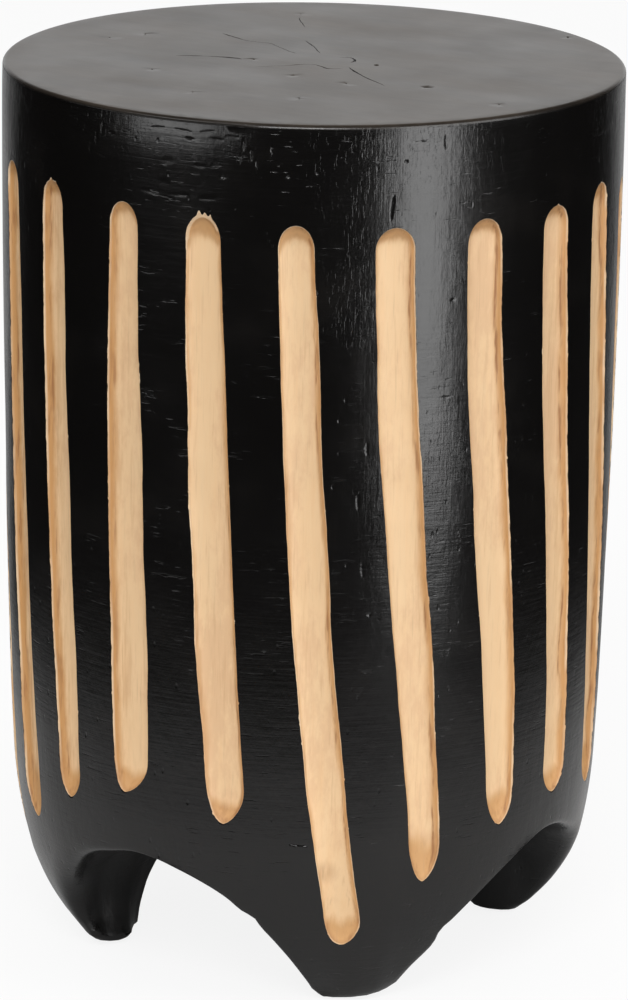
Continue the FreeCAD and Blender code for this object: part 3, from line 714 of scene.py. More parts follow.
# The top: drying checks as dark cracks, with putty where the table gives a node, and small pits
checkSizes = {
    "depth": 4.0,
    "sunk": 0.2,
    "openness": 0.62,  # the dark lines look wider than the wood is open
    "step": 2.0,
    "waves": [(7, 0.16), (3.5, 0.10)],
    "putty": {  # places seen from the front corner, and the width there
        "check_filler_front_left": [(-78, 8, 0.5), (-72, 8, 1.7), (-66, 7.5, 2.1), (-62, 7, 0.7), (-57, 6.5, 1.4), (-52, 5.4, 2.6), (-46, 3.4, 3.9), (-42, 1.4, 2.4), (-40.5, 0, 0.5)],
        "check_filler_left": [(-53, 74, 0.5), (-50, 69, 1.7), (-45, 62, 1.5), (-40, 55, 0.7), (-33, 50, 0.5), (-25, 46.5, 0.9), (-22, 40, 0.5), (-18, 32, 0.6), (-14, 24, 0.8), (-10, 18.5, 0.4)],
        "check_filler_back_left": [(-9, 126, 0.4), (-9, 117, 0.8), (-7.2, 106, 0.7), (-6, 97, 0.4)],
        "check_filler_inner_back": [(-5.5, 56, 0.4), (-2.5, 46, 1.3), (0, 37, 0.7), (1.5, 28, 1.0), (3.2, 20, 0.4)],
        "check_filler_inner_front": [(-33, -20, 0.4), (-25, -18, 0.7), (-15, -15.5, 0.9), (-10.5, -13, 1.8), (-5, -11, 0.6), (0, -12, 0.7), (4, -17, 1.3), (7, -22, 2.1), (11, -22.3, 0.7), (16, -21, 0.4)],
        "check_filler_right": [(19, -18, 0.4), (22.3, -29, 2.0), (25.5, -38, 1.1), (30, -49, 1.2), (34.5, -58, 1.0), (39, -67, 0.4)],
        "check_filler_heart": [(14, 8.6, 0.4), (18, 10, 0.9), (21, 8, 1.5), (22.3, 4, 1.9), (22.3, -1, 2.6), (20, -4.5, 0.5)],
    },
    "pits": [(34.5, -10.5, 3.0, 5.0, 1.6), (-34, 0, 1.4, 2.6, 0.6), (17.5, -62, 1.2, 3.0, 0.6), (-8, -104, 1.0, 7, 0.5), (-90, -32, 1.1, 4, 0.4), (-117, 56, 1.3, 1.8, 0.5), (-97, 68, 1.1, 4, 0.5), (100, -112, 1.1, 3, 0.4), (145, 79, 1.6, 4, 0.6), (-66, -92, 1.0, 6, 0.35), (62, -70, 7, 1.0, 0.3), (-12, -43, 2.6, 1.2, 0.3), (-8.5, 135, 1.0, 5, 0.3)],
}


def fromFront(x, y):
    turn = math.radians(frontTurn)
    return x * math.cos(turn) - y * math.sin(turn), x * math.sin(turn) + y * math.cos(turn)


def checkSides(path, seed):  # the two ragged sides of a check, with its tips
    stations = np.concatenate([[0], np.cumsum([math.dist(a[:2], b[:2]) for a, b in zip(path, path[1:])])])
    lines = [smoothLine(list(zip(stations, column))) for column in zip(*path)]
    count = max(4, int(stations[-1] / checkSizes["step"]))
    wave, waver = unevenLine(seed, checkSizes["waves"]), unevenLine(seed + 50, checkSizes["waves"])
    left, right = [], []
    spots = np.linspace(0, stations[-1], count + 1)
    for at in spots:
        x, y = float(lines[0](at)), float(lines[1](at))
        dx, dy = float(lines[0](at + 0.2) - lines[0](at - 0.2)), float(lines[1](at + 0.2) - lines[1](at - 0.2))
        size = math.hypot(dx, dy)
        normal = (-dy / size, dx / size)
        half = max(0.16, float(lines[2](at)) * checkSizes["openness"] / 2)
        sway = float(waver(at))
        ends = min(1.0, at / 2.5, (stations[-1] - at) / 2.5)
        half = max(0.02, (half + float(wave(at)) * 0.5 * half) * ends)
        left.append(fromFront(x + normal[0] * (sway + half), y + normal[1] * (sway + half)))
        right.append(fromFront(x + normal[0] * (sway - half), y + normal[1] * (sway - half)))
    return left, right


def addTop():
    height, radius = logSizes["height"], rimCentre[0]
    rows = [rim]
    leftTurn = math.degrees(math.atan2(logMesh.points[rim[0]][0], -logMesh.points[rim[0]][1]))
    for share in np.linspace(0, 1, logSizes["rimRows"] + 1)[1:]:
        angle = -rimLean + (math.pi / 2 + rimLean) * share
        at = radius + logSizes["rimRound"] * math.cos(angle)
        level = rimCentre[1] + logSizes["rimRound"] * math.sin(angle)
        row = []
        for k in range(logSizes["rimSteps"]):
            degrees = leftTurn + 360 * k / logSizes["rimSteps"]
            turn = math.radians(degrees)
            dent = shoulderAt(degrees, sideRun) * (1 - share) ** 2
            row.append(logMesh.point((at * math.sin(turn), -at * math.cos(turn), level), sway=0.35 - 0.1 * share, flat=float(share), dent=dent))
        rows.append(row + [row[0]])
    for first, second in zip(rows, rows[1:]):
        logMesh.strip(first, second)
    flat, ids = [], []

    def keep(x, y, index):
        flat.append((x, y))
        ids.append(index)
        return len(flat) - 1

    loops = [[keep(*logMesh.points[k][:2], k) for k in rows[-1][:-1]]]
    for number, path in enumerate(checkSizes["putty"].values()):
        left, right = checkSides(path, number)
        ring = left + right[::-1]
        topRing = [logMesh.point((x, y, height), flat=1.0, sway=0.0) for x, y in ring]
        lowRing = [logMesh.point((x, y, height - checkSizes["depth"]), flat=1.0, sway=0.0, dent=0.0) for x, y in ring]
        loops.append([keep(x, y, index) for (x, y), index in zip(ring, topRing)])
        logMesh.strip(topRing, lowRing, True)
        logMesh.strip(lowRing[:len(left)], lowRing[:len(left) - 1:-1])
    draw = random.Random(8)
    for x, y, width, length, depth in checkSizes["pits"]:
        for size, share, count in ((0, 1, 1), (0.62, 0.8, 7), (1, 0, 11)):
            for k in range(count):
                angle = math.tau * k / count
                reach = size / 2 * draw.uniform(0.85, 1.15)
                px, py = fromFront(x + width * reach * math.cos(angle), y + length * reach * math.sin(angle))
                keep(px, py, logMesh.point((px, py, height), flat=1.0, sway=0.0, dent=depth * share))
    grid = hexGrid(-radius, radius, -radius, radius, logSizes["topStep"], 9, 0.2)
    grid = grid[np.hypot(*grid.T) < radius - 2.5]
    for x, y in clearOf(grid, flat, 2.6):
        keep(x, y, logMesh.point((x, y, height), flat=1.0, sway=0.25))
    faces = triangles(flat, loops)
    centres = np.array([np.mean([flat[k] for k in face], axis=0) for face in faces])
    dropped = np.zeros(len(faces), bool)
    for loop in loops[1:]:
        dropped |= insideLoop(centres[:, 0], centres[:, 1], [flat[k] for k in loop])
    logMesh.faces += [tuple(ids[k] for k in face) for face, out in zip(faces, dropped) if not out]


addTop()
print("top: points", len(logMesh.points))

# The foot flats, each with the round seat of its glide
seatSizes = {"clearance": 0.3, "nailBore": 1.0, "boreEnd": 20.0, "steps": 28}
legNames = ["front_right", "back_right", "back_left", "front_left"]


def addFeet():
    for number, name in enumerate(legNames):
        nearRow = tunnels[number]["rows"][0]
        farRow = tunnels[(number + 1) % 4]["rows"][-1]
        line = footLines[(number + 1) % 4]
        ring = line[:-1] + farRow[::-1] + nearRow[1:-1]
        flat = [logMesh.points[k][:2] for k in ring]
        ids = list(ring)
        cupLow, cupHigh = (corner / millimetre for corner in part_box("glide_cup_" + name))
        centre = (cupLow + cupHigh) / 2
        seatRadius = (cupHigh.x - cupLow.x) / 2 + seatSizes["clearance"]
        rings = []
        for radius, level in ((seatRadius, 0.0), (seatRadius, cupHigh.z - lift), (seatSizes["nailBore"], cupHigh.z - lift), (seatSizes["nailBore"], seatSizes["boreEnd"] - lift)):
            circle = [math.tau * k / seatSizes["steps"] for k in range(seatSizes["steps"])]
            rings.append([logMesh.point((centre.x + radius * math.cos(a), centre.y + radius * math.sin(a), level), sway=0.0) for a in circle])
        for first, second in zip(rings, rings[1:]):
            logMesh.strip(first, second, True)
        logMesh.fan(rings[-1], logMesh.point((centre.x, centre.y, seatSizes["boreEnd"] - lift), sway=0.0))
        start = len(flat)
        flat += [logMesh.points[k][:2] for k in rings[0]]
        ids += rings[0]
        loops = [list(range(start)), list(range(start, len(flat)))]
        faces = triangles(flat, loops)
        centres = np.array([np.mean([flat[k] for k in face], axis=0) for face in faces])
        inside = insideLoop(centres[:, 0], centres[:, 1], [flat[k] for k in loops[0]])
        inside &= ~insideLoop(centres[:, 0], centres[:, 1], [flat[k] for k in loops[1]])
        logMesh.faces += [tuple(ids[k] for k in face) for face, good in zip(faces, inside) if good]


addFeet()


def finishedMesh(name, source, merge=0.002):  # a closed mesh in metres, its faces outwards
    mesh = bpy.data.meshes.new(name)
    points = np.array(source.points, float)
    points[:, 2] += lift
    mesh.from_pydata((points * millimetre).tolist(), [], source.faces)
    for column, mark in enumerate(markNames):
        layer = mesh.attributes.new(mark, "FLOAT", "POINT")
        layer.data.foreach_set("value", np.array(source.marks, np.float32)[:, column])
    shape = bmesh.new()
    shape.from_mesh(mesh)
    bmesh.ops.remove_doubles(shape, verts=shape.verts, dist=merge * millimetre)
    bmesh.ops.dissolve_degenerate(shape, edges=shape.edges, dist=0.2 * merge * millimetre)
    bare = [edge for edge in shape.edges if not edge.link_faces]
    bmesh.ops.delete(shape, geom=bare, context="EDGES")
    loose = [vert for vert in shape.verts if not vert.link_faces]
    bmesh.ops.delete(shape, geom=loose, context="VERTS")
    bmesh.ops.recalc_face_normals(shape, faces=shape.faces)
    openEdges = sum(1 for edge in shape.edges if len(edge.link_faces) != 2)
    shape.to_mesh(mesh)
    shape.free()
    print("log:", len(mesh.vertices), "points,", len(mesh.polygons), "faces, open edges", openEdges)
    return mesh


logBody = bpy.data.objects.new("carved_log", finishedMesh("carved_log", logMesh))
bpy.context.scene.collection.objects.link(logBody)


# Geometry Nodes: the gouge sinks the flutes, the dents and the uneven hand-cut faces
carveValues = {
    "Flute depth": fluteSizes["depth"],
    "Flute reach": fluteSizes["reach"],
    "Wall wander": 0.9,
    "Wander length": 22.0,
    "Gouge ripple": 0.22,
    "Ripple length": 17.0,
    "Side sway": 0.55,
    "Sway length": 55.0,
    "Hewn height": 1.3,
    "Hewn length": 26.0,
    "Seed": 12.0,
}


def newGroup(name, inputs):
    tree = bpy.data.node_groups.new(name, "GeometryNodeTree")
    graph = Graph(tree)
    tree.interface.new_socket("Geometry", in_out="INPUT", socket_type="NodeSocketGeometry")
    tree.interface.new_socket("Geometry", in_out="OUTPUT", socket_type="NodeSocketGeometry")
    sockets = {name: tree.interface.new_socket(name, in_out="INPUT", socket_type="NodeSocketFloat") for name in inputs}
    start = tree.nodes.new("NodeGroupInput")
    wires = {name: Wire(graph, start.outputs[name]) for name in inputs}
    return graph, sockets, Wire(graph, start.outputs["Geometry"]), wires


def endGroup(graph, shape, material):
    shape = graph.add("GeometryNodeRealizeInstances", {}, {"Geometry": shape})
    shape = graph.add("GeometryNodeSetMaterial", {}, {"Geometry": shape, "Material": material})
    end = graph.tree.nodes.new("NodeGroupOutput")
    graph.tree.links.new(shape.socket, end.inputs[0])


def applyGroup(body, graph, sockets, values):  # a plain mesh from the tree's result
    modifier = body.modifiers.new("carve", "NODES")
    modifier.node_group = graph.tree
    for name, value in values.items():
        modifier[sockets[name].identifier] = value
    bpy.context.view_layer.update()
    depsgraph = bpy.context.evaluated_depsgraph_get()
    mesh = bpy.data.meshes.new_from_object(body.evaluated_get(depsgraph), depsgraph=depsgraph)
    body.modifiers.remove(modifier)
    return mesh


def carveTree(material):
    graph, sockets, shape, given = newGroup("carveLog", carveValues)

    def mark(name):
        return graph.add("GeometryNodeInputNamedAttribute", {"data_type": "FLOAT"}, {"Name": name})

    place = graph.add("GeometryNodeInputPosition")
    place = graph.stretched(place, (1000.0, 1000.0, 1000.0))

    def waves(length, stretch=(1.0, 1.0, 1.0)):
        values = {"Vector": graph.stretched(place, stretch), "W": given["Seed"], "Scale": 1 / length, "Detail": 1.5}
        return graph.add("ShaderNodeTexNoise", {"noise_dimensions": "4D"}, values) * 2 - 1

    wander = waves(given["Wander length"], (1.0, 1.0, 0.8)) * given["Wall wander"] + 1
    share = (mark("inset") / (given["Flute reach"] * wander.atLeast(0.6))).between()
    depth = given["Flute depth"] * (share * (2 - share)) ** 0.5  # a round gouge's section
    ends = mark("topShare").atMost(mark("lowShare")).between()
    depth = depth * (0.3 + 0.7 * ends * (2 - ends))
    ripple = waves(given["Ripple length"], (0.6, 0.6, 1.0)) * given["Gouge ripple"] * share
    sway = waves(given["Sway length"], (1.0, 1.0, 0.5)) * given["Side sway"] * mark("sway")
    hewn = waves(given["Hewn length"]) * given["Hewn height"] * mark("hewn")
    outward = (sway + hewn + ripple - depth - mark("dent")) * millimetre
    normal = graph.add("GeometryNodeInputNormal")
    offset = graph.add("ShaderNodeVectorMath", {"operation": "SCALE"}, {"Vector": normal, "Scale": outward})
    shape = graph.add("GeometryNodeSetPosition", {}, {"Geometry": shape, "Offset": offset})
    shape = graph.add("GeometryNodeSetShadeSmooth", {}, {"Geometry": shape, "Shade Smooth": True})
    endGroup(graph, shape, material)
    return graph, sockets


# Finishes
def newMaterial(name):
    material = bpy.data.materials.new(name)
    material.use_nodes = True
    graph = Graph(material.node_tree)
    place = graph.add("ShaderNodeTexCoord", {}, {}, "Object")
    return material, graph, place


def endMaterial(graph, values, height=None, strength=1.0):
    if height is not None:  # height in millimetres
        bump = {"Height": height, "Strength": strength, "Distance": millimetre}
        values = {**values, "Normal": graph.add("ShaderNodeBump", {}, bump)}
    shader = graph.add("ShaderNodeBsdfPrincipled", {}, values)
    end = graph.tree.nodes.new("ShaderNodeOutputMaterial")
    graph.tree.links.new(shader.socket, end.inputs["Surface"])


woodValues = {
    "floor": (0.855, 0.562, 0.303, 1),  # bare wood on the flutes' floor
    "floorPale": (0.89, 0.648, 0.388, 1),
    "patch": (0.75, 0.475, 0.27, 1),
    "fibre": (0.66, 0.39, 0.20, 1),
    "amber": (0.60, 0.315, 0.115, 1),  # walls and ends, where the stain crept in
    "amberDark": (0.34, 0.145, 0.048, 1),
    # pale edge line: partly paler broken wood, partly a painted highlight on the arris
    "arris": (0.90, 0.72, 0.50, 1),
    "stain": (0.0024, 0.0020, 0.0018, 1),
    "stainWorn": (0.008, 0.0066, 0.0056, 1),
    # the flat top's tint: partly wear, partly a painted reflection of the bright room that the top mirrors at a grazing
    # angle
    "topWearAndSheen": (0.070, 0.054, 0.040, 1),
    "knots": [(34.6, 236, 1.3, 9.0), (34.0, 251, 1.0, 4.0), (37.2, 84, 5.0, 5.0)],  # turn, level, width, length of dark streaks
}


def logMaterial():
    material, graph, place = newMaterial("blackened_wood")
    v = woodValues
    inset, across, shade = (graph.attribute(name) for name in ("inset", "across", "shade"))
    topShare, lowShare = graph.attribute("topShare"), graph.attribute("lowShare")
    flat, hewn = graph.attribute("flat"), graph.attribute("hewn")
    fine = graph.noise(place, 900, 2)
    ragged = graph.noise(graph.stretched(place, (1.0, 1.0, 0.35)), 420, 3)
    chips = graph.noise(place, 170, 2).ramp(0.66, 0.74)
    edge = inset + (ragged - 0.5) * 0.5 + chips * 0.4
    bare = edge.ramp(-0.05, 0.1)

    # bare wood: pale floor with fibres, amber walls and ends, brown scars, a bright line along the edge that is partly
    # paler wood where the edge broke and partly a painted highlight on the arris
    streak = graph.noise(graph.stretched(place, (1.0, 1.0, 0.03)), 850, 3, 0.6)
    fibres = graph.noise(graph.stretched(place, (1.0, 1.0, 0.045)), 400, 3, 0.6)
    broad = graph.noise(graph.stretched(place, (1.0, 1.0, 0.1)), 130, 2)
    cloud = graph.noise(graph.stretched(place, (1.0, 1.0, 0.3)), 34, 2)
    mottle = graph.noise(graph.stretched(place, (1.0, 1.0, 0.4)), 230, 3, 0.65)
    wander = graph.noise(graph.stretched(place, (1.0, 1.0, 0.35)), 75, 2) - 0.5
    side = graph.attribute("scars").ramp(-0.35, 0.65)  # the side of the flute that the tool scorched
    floorColour = graph.tint((fibres * 0.9 + broad * 0.9 - 0.4).between(), v["floor"], v["floorPale"])
    floorColour = graph.tint((cloud * 0.6 + mottle * 0.4).ramp(0.45, 0.62) * 0.6, floorColour, v["patch"])
    floorColour = graph.tint(fibres.ramp(0.55, 0.72) * 0.4, floorColour, v["fibre"])
    wallReach = 1.3 + side * (1.2 + 1.8 * shade) + (cloud - 0.5) * 2.4 + wander * 3.6
    wallReach = wallReach.atLeast(0.7)
    wall = 1 - (inset + (fibres - 0.5) * 2.6 + (streak - 0.5) * 1.4).ramp(0.0, wallReach * 1.7)
    arch = 1 - (1 - across * across).between() ** 0.5  # the ends' marks bow with their round outline
    topSpot = topShare - arch * 0.7 + (fibres - 0.5) * 0.5 + wander * 0.9
    topEnd = 1 - topSpot.ramp(0.3, 0.9)
    lowSpot = lowShare - arch * 0.3 + wander * 0.9 + (fibres - 0.5) * 0.35 + (mottle - 0.5) * 0.3
    lowEnd = 1 - lowSpot.ramp(0.5, 1.05)
    amber = (wall * (0.55 + 0.35 * side + 0.15 * shade)).atLeast(topEnd * 0.8).atLeast(lowEnd * 0.85)
    stained = (fibres * 0.45 + broad * 0.35 + mottle * 0.2).ramp(0.42, 0.6)
    amber = (amber + shade * (0.06 + (0.2 + 0.45 * side) * stained)).between()
    colour = graph.tint(amber, floorColour, v["amber"])
    line = 1 - (inset - wallReach * 0.75 + (streak - 0.5) * 1.6 + (fibres - 0.5) * 2.4).math("ABSOLUTE").ramp(0.0, 1.3)
    line = line * (0.5 + 0.5 * across.ramp(-0.2, 0.2))
    scorch = graph.noise(graph.stretched(place, (1.0, 1.0, 0.12)), 240, 3, 0.65)
    deep = line * scorch.ramp(0.42, 0.6) * side * (0.3 + 0.7 * cloud.ramp(0.4, 0.56))
    deep = deep + scorch.ramp(0.5, 0.66) * (wall * 0.3 + shade * shade * side * 0.45)
    deep = deep + lowEnd * ((1 - inset.ramp(0.6, 3.0)) * 0.3 + mottle.ramp(0.5, 0.7) * 0.3)
    bowed = (1 - (topSpot - 0.5).math("ABSOLUTE").ramp(0.0, 0.25)) * topEnd
    deep = (deep + bowed * 0.25 + topEnd * (1 - topSpot.ramp(0.0, 0.3)) * 0.25).between() * 0.9
    for turn, level, width, length in v["knots"]:
        x, y, z = (value * millimetre for value in onSide(turn, runAt(level)))
        reach = graph.add("ShaderNodeVectorMath", {"operation": "SUBTRACT"}, {0: place, 1: (x, y, z + lift * millimetre)})
        reach = graph.stretched(reach, (500 / width, 500 / width, 500 / length))
        reach = graph.add("ShaderNodeVectorMath", {"operation": "LENGTH"}, {0: reach}, "Value")
        deep = deep.atLeast((1 - (reach * (0.4 + 1.2 * streak)).ramp(0.3, 1.0)) * (0.9 * streak - 0.1))
    colour = graph.tint(deep, colour, v["amberDark"])
    colour = graph.tint(streak.ramp(0.56, 0.78) * 0.22, colour, (0.42, 0.26, 0.15, 1))
    # painted highlight: a pale line along the flute's edge, partly paler broken wood and partly the arris's highlight
    paleEdgeAndHighlight = broad.ramp(0.42, 0.58).atLeast(1 - topShare.ramp(1.0, 1.6)) * (0.4 + 0.6 * lowShare.ramp(0.2, 0.9))
    colour = graph.tint((1 - inset.ramp(0.1, 0.6)) * (0.2 + 0.65 * paleEdgeAndHighlight), colour, v["arris"])

    # black stain over the rest, a little browner and duller where hands and rags have rubbed it; the flat top is
    # painted lighter and browner, partly wear and partly a painted reflection of the bright room
    brushed = graph.noise(graph.stretched(place, (0.06, 0.06, 1.0)), 520, 3, 0.6)
    rubbed = graph.noise(place, 23, 3)
    black = graph.tint(rubbed.ramp(0.5, 0.8) * 0.5, v["stain"], v["stainWorn"])
    topGrain = graph.noise(graph.stretched(place, (0.16, 1.0, 1.0)), 260, 3, 0.6)
    topCloud = graph.noise(graph.stretched(place, (0.5, 1.0, 1.0)), 24, 3, 0.55)
    # painted reflection: the flat top is tinted lighter and browner, partly wear and partly the sheen of the room it
    # mirrors
    black = graph.tint(flat * (0.35 + 0.5 * topGrain + (topCloud - 0.5) * 1.3), black, v["topWearAndSheen"])
    colour = graph.tint(bare, black, colour)

    # relief in millimetres: upright grain and dashes, tool lines round the drum, pits, fibres of the bare wood
    parts = graph.add("ShaderNodeSeparateXYZ", {}, {"Vector": place})
    level = Wire(graph, parts.socket.node.outputs["Z"])
    nearRim = level.ramp(0.44, 0.5) * (1 - flat)
    grain = graph.noise(graph.stretched(place, (1.0, 1.0, 0.04)), 800, 3, 0.65)
    dashes = graph.noise(graph.stretched(place, (1.0, 1.0, 0.2)), 640, 2, 0.6)
    patch = graph.noise(graph.stretched(place, (1.0, 1.0, 0.6)), 17, 2).ramp(0.48, 0.66)
    slits = graph.noise(graph.stretched(place, (0.14, 0.14, 1.0)), 560, 2, 0.5).ramp(0.62, 0.72)
    slits = slits * graph.noise(place, 42, 1).ramp(0.46 , 0.6)
    cuts = dashes.ramp(0.56, 0.66) * (patch * 0.75 + nearRim * 0.5)
    pits = graph.add("ShaderNodeTexVoronoi", {"feature": "F1"}, {"Vector": graph.stretched(place, (1.0, 1.0, 0.5)), "Scale": 190.0})
    pits = (1 - pits.ramp(0.05, 0.2)) * graph.noise(place, 60, 1).ramp(0.48, 0.6)
    skin = graph.noise(graph.stretched(place, (1.0, 1.0, 0.6)), 120, 4, 0.6)
    relief = grain * (0.05 + 0.05 * patch) + dashes * 0.035 + brushed * 0.09 + skin * 0.24 - pits * 0.16
    relief = relief - cuts * 0.06 - slits * (0.07 + 0.09 * nearRim)
    flatRelief = topGrain * 0.03 + fine * 0.012 + topCloud * 0.25
    relief = relief + (flatRelief - relief) * flat
    relief = relief + hewn * graph.noise(graph.stretched(place, (1.0, 1.0, 0.5)), 95, 3) * 0.5
    fibre = streak * 0.08 + fine * 0.02 - 0.08
    height = relief + (fibre - relief) * bare
    satin = 0.165 + 0.1 * rubbed + 0.05 * brushed + flat * (0.08 + 0.12 * topCloud) + 0.14 * hewn
    roughness = satin + (0.58 + 0.1 * streak - satin) * bare
    endMaterial(graph, {"Base Color": colour, "Roughness": roughness, "IOR": 1.5}, height)
    return material


logFinish = logMaterial()
graph, sockets = carveTree(logFinish)
carved = applyGroup(logBody, graph, sockets, carveValues)
carved.set_sharp_from_angle(angle=math.radians(50))
logBody.data = carved
carved.name = "carved_log"
print("carved:", len(carved.vertices), "points", carved.materials[:])
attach(logBody, "root")
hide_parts("carved_body")

# Putty in the checks, swept along each one by Geometry Nodes
puttyValues = {"Sunk": checkSizes["sunk"], "Slack": 0.06, "Unevenness": 0.12}


def puttyMaterial():
    material, graph, place = newMaterial("filler")
    crumbs = graph.noise(place, 700, 3)
    colour = graph.tint(crumbs, (0.004, 0.004, 0.004, 1), (0.016, 0.014, 0.012, 1))
    endMaterial(graph, {"Base Color": colour, "Roughness": 0.6 + 0.25 * crumbs}, crumbs * 0.15)
    return material


def puttyTree(material):
    graph, sockets, shape, given = newGroup("layPutty", ["Sunk", "Depth", "Slack", "Unevenness"])
    line = graph.add("GeometryNodeMeshToCurve", {}, {"Mesh": shape})
    line = graph.add("GeometryNodeSetCurveNormal", {"mode": "Z_UP"}, {"Curve": line})
    half = graph.add("GeometryNodeInputNamedAttribute", {"data_type": "FLOAT"}, {"Name": "halfWidth"})
    across = graph.add("GeometryNodeCurvePrimitiveLine", {}, {"Start": (-1.0, 0.0, 0.0), "End": (1.0, 0.0, 0.0)})
    values = {"Curve": line, "Profile Curve": across}
    line = graph.add("GeometryNodeSetCurveRadius", {}, {"Curve": line, "Radius": half - given["Slack"] * millimetre})
    values["Curve"] = line
    ribbon = graph.add("GeometryNodeCurveToMesh", {}, values)
    sweep = ribbon.socket.node
    if "Scale" in sweep.inputs:
        graph.tree.links.new(graph.add("GeometryNodeInputRadius").socket, sweep.inputs["Scale"])
    place = graph.stretched(graph.add("GeometryNodeInputPosition"), (1000.0, 1000.0, 1000.0))
    bumps = graph.add("ShaderNodeTexNoise", {}, {"Vector": place, "Scale": 0.5, "Detail": 1.0}) - 0.5
    sunk = (bumps * given["Unevenness"] - given["Sunk"]) * millimetre
    lower = graph.add("ShaderNodeCombineXYZ", {}, {"Z": sunk})
    ribbon = graph.add("GeometryNodeSetPosition", {}, {"Geometry": ribbon, "Offset": lower})
    drop = graph.add("ShaderNodeCombineXYZ", {}, {"Z": given["Depth"] * -millimetre})
    block = graph.add("GeometryNodeExtrudeMesh", {}, {"Mesh": ribbon, "Offset": drop, "Offset Scale": 1.0, "Individual": False})
    joined = graph.tree.nodes.new("GeometryNodeJoinGeometry")
    graph.tree.links.new(ribbon.socket, joined.inputs[0])
    graph.tree.links.new(block.socket, joined.inputs[0])
    merged = graph.add("GeometryNodeMergeByDistance", {}, {"Geometry": Wire(graph, joined.outputs[0]), "Distance": 1e-6})
    endGroup(graph, merged, material)
    return graph, sockets


def closedUp(mesh):
    shape = bmesh.new()
    shape.from_mesh(mesh)
    bmesh.ops.remove_doubles(shape, verts=shape.verts, dist=1e-6)
    bmesh.ops.recalc_face_normals(shape, faces=shape.faces)
    openEdges = sum(1 for edge in shape.edges if len(edge.link_faces) != 2)
    shape.to_mesh(mesh)
    shape.free()
    return openEdges


puttyFinish = puttyMaterial()
puttyGraph, puttySockets = puttyTree(puttyFinish)
for number, (name, path) in enumerate(checkSizes["putty"].items()):
    left, right = checkSides(path, number)
    top = logSizes["height"] + lift
    middle = [((a[0] + b[0]) / 2 * millimetre, (a[1] + b[1]) / 2 * millimetre, top * millimetre) for a, b in zip(left, right)]
    mesh = bpy.data.meshes.new(name.replace("check_filler", "putty"))
    mesh.from_pydata(middle, [(k, k + 1) for k in range(len(middle) - 1)], [])
    layer = mesh.attributes.new("halfWidth", "FLOAT", "POINT")
    layer.data.foreach_set("value", [max(0.05, math.dist(a, b) / 2) * millimetre for a, b in zip(left, right)])
    strip = bpy.data.objects.new(mesh.name, mesh)
    bpy.context.scene.collection.objects.link(strip)
    depth = checkSizes["depth"] - checkSizes["sunk"] - 0.1
    strip.data = applyGroup(strip, puttyGraph, puttySockets, {**puttyValues, "Depth": depth})
    opened = closedUp(strip.data)
    print("putty:", strip.name, len(strip.data.polygons), "faces, open edges", opened)
    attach(strip, "root")
    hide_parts(name)


# Glides: the CAD's own solids in better finishes
def cupMaterial():
    material, graph, place = newMaterial("glide_cup")
    mould = graph.noise(place, 900, 2)
    colour = graph.tint(mould, (0.028, 0.02, 0.015, 1), (0.06, 0.046, 0.036, 1))
    endMaterial(graph, {"Base Color": colour, "Roughness": 0.42 + 0.15 * mould}, mould * 0.05)
    return material


def feltMaterial():
    material, graph, place = newMaterial("felt")
    fibres = graph.noise(place, 1600, 4, 0.7, 1.5)
    tufts = graph.noise(place, 330, 2)
    colour = graph.tint((fibres * 0.7 + tufts * 0.4 - 0.05).between(), (0.07, 0.055, 0.045, 1), (0.2, 0.165, 0.135, 1))
    endMaterial(graph, {"Base Color": colour, "Roughness": 0.95, "Sheen Weight": 0.3}, fibres * 0.3 + tufts * 0.2)
    return material


def nailMaterial():
    material, graph, place = newMaterial("nail")
    drawn = graph.noise(graph.stretched(place, (1.0, 1.0, 0.04)), 2600, 3)
    colour = graph.tint(drawn, (0.5, 0.5, 0.5, 1), (0.66, 0.655, 0.65, 1))
    endMaterial(graph, {"Base Color": colour, "Metallic": 1.0, "Roughness": 0.28 + 0.2 * drawn}, drawn * 0.02)
    return material


glideFinishes = {"glide_cup_": cupMaterial(), "glide_felt_": feltMaterial(), "glide_nail_": nailMaterial()}
for name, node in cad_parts.items():
    for start, finish in glideFinishes.items():
        if name.startswith(start):
            node.material_slots[0].material = finish

# Floor: white to the camera with the table's shadow, and for light and gloss a white sweep with a dark room past it
floorValues = {
    "size": 9.0,
    "white": 0.68,
    "dark": 0.015,
    "fadeFrom": 0.38,  # metres from the axis, on the camera's side
    "fadeTo": 0.76,
    "seenGlow": 0.87,
}
awayTurn = math.radians(32.5)  # the camera looks this way over the table
awayLine = (-math.sin(awayTurn), math.cos(awayTurn), 0.0)


def floorPiece():
    s = floorValues
    mesh = bpy.data.meshes.new("floor")
    half = s["size"]
    mesh.from_pydata([(-half, -half, 0), (half, -half, 0), (half, half, 0), (-half, half, 0)], [], [(0, 1, 2, 3)])
    floor = bpy.data.objects.new("floor", mesh)
    bpy.context.scene.collection.objects.link(floor)
    material, graph, place = newMaterial("floor_paint")
    away = graph.add("ShaderNodeVectorMath", {"operation": "LENGTH"}, {0: place}, "Value")
    behind = graph.add("ShaderNodeVectorMath", {"operation": "DOT_PRODUCT"}, {0: place, 1: awayLine}, "Value")
    dark = away.ramp(s["fadeFrom"], s["fadeTo"]) * (1 - (behind / away).ramp(0.72, 0.97))
    grey = s["white"] + (s["dark"] - s["white"]) * dark
    light = graph.add("ShaderNodeLightPath", {}, {}, "Is Camera Ray")
    plain = graph.add("ShaderNodeBsdfDiffuse", {}, {"Color": (0.9, 0.9, 0.9, 1)})
    glow = graph.add("ShaderNodeEmission", {}, {"Color": (1, 1, 1, 1), "Strength": 1.0})
    seen = graph.add("ShaderNodeMixShader", {}, {0: s["seenGlow"], 1: plain, 2: glow})
    mirrored = graph.add("ShaderNodeBsdfDiffuse", {}, {"Color": grey})
    mixed = graph.add("ShaderNodeMixShader", {}, {0: light, 1: mirrored, 2: seen})
    end = graph.tree.nodes.new("ShaderNodeOutputMaterial")
    graph.tree.links.new(mixed.socket, end.inputs["Surface"])
    mesh.materials.append(material)
    return floor


floorPiece()

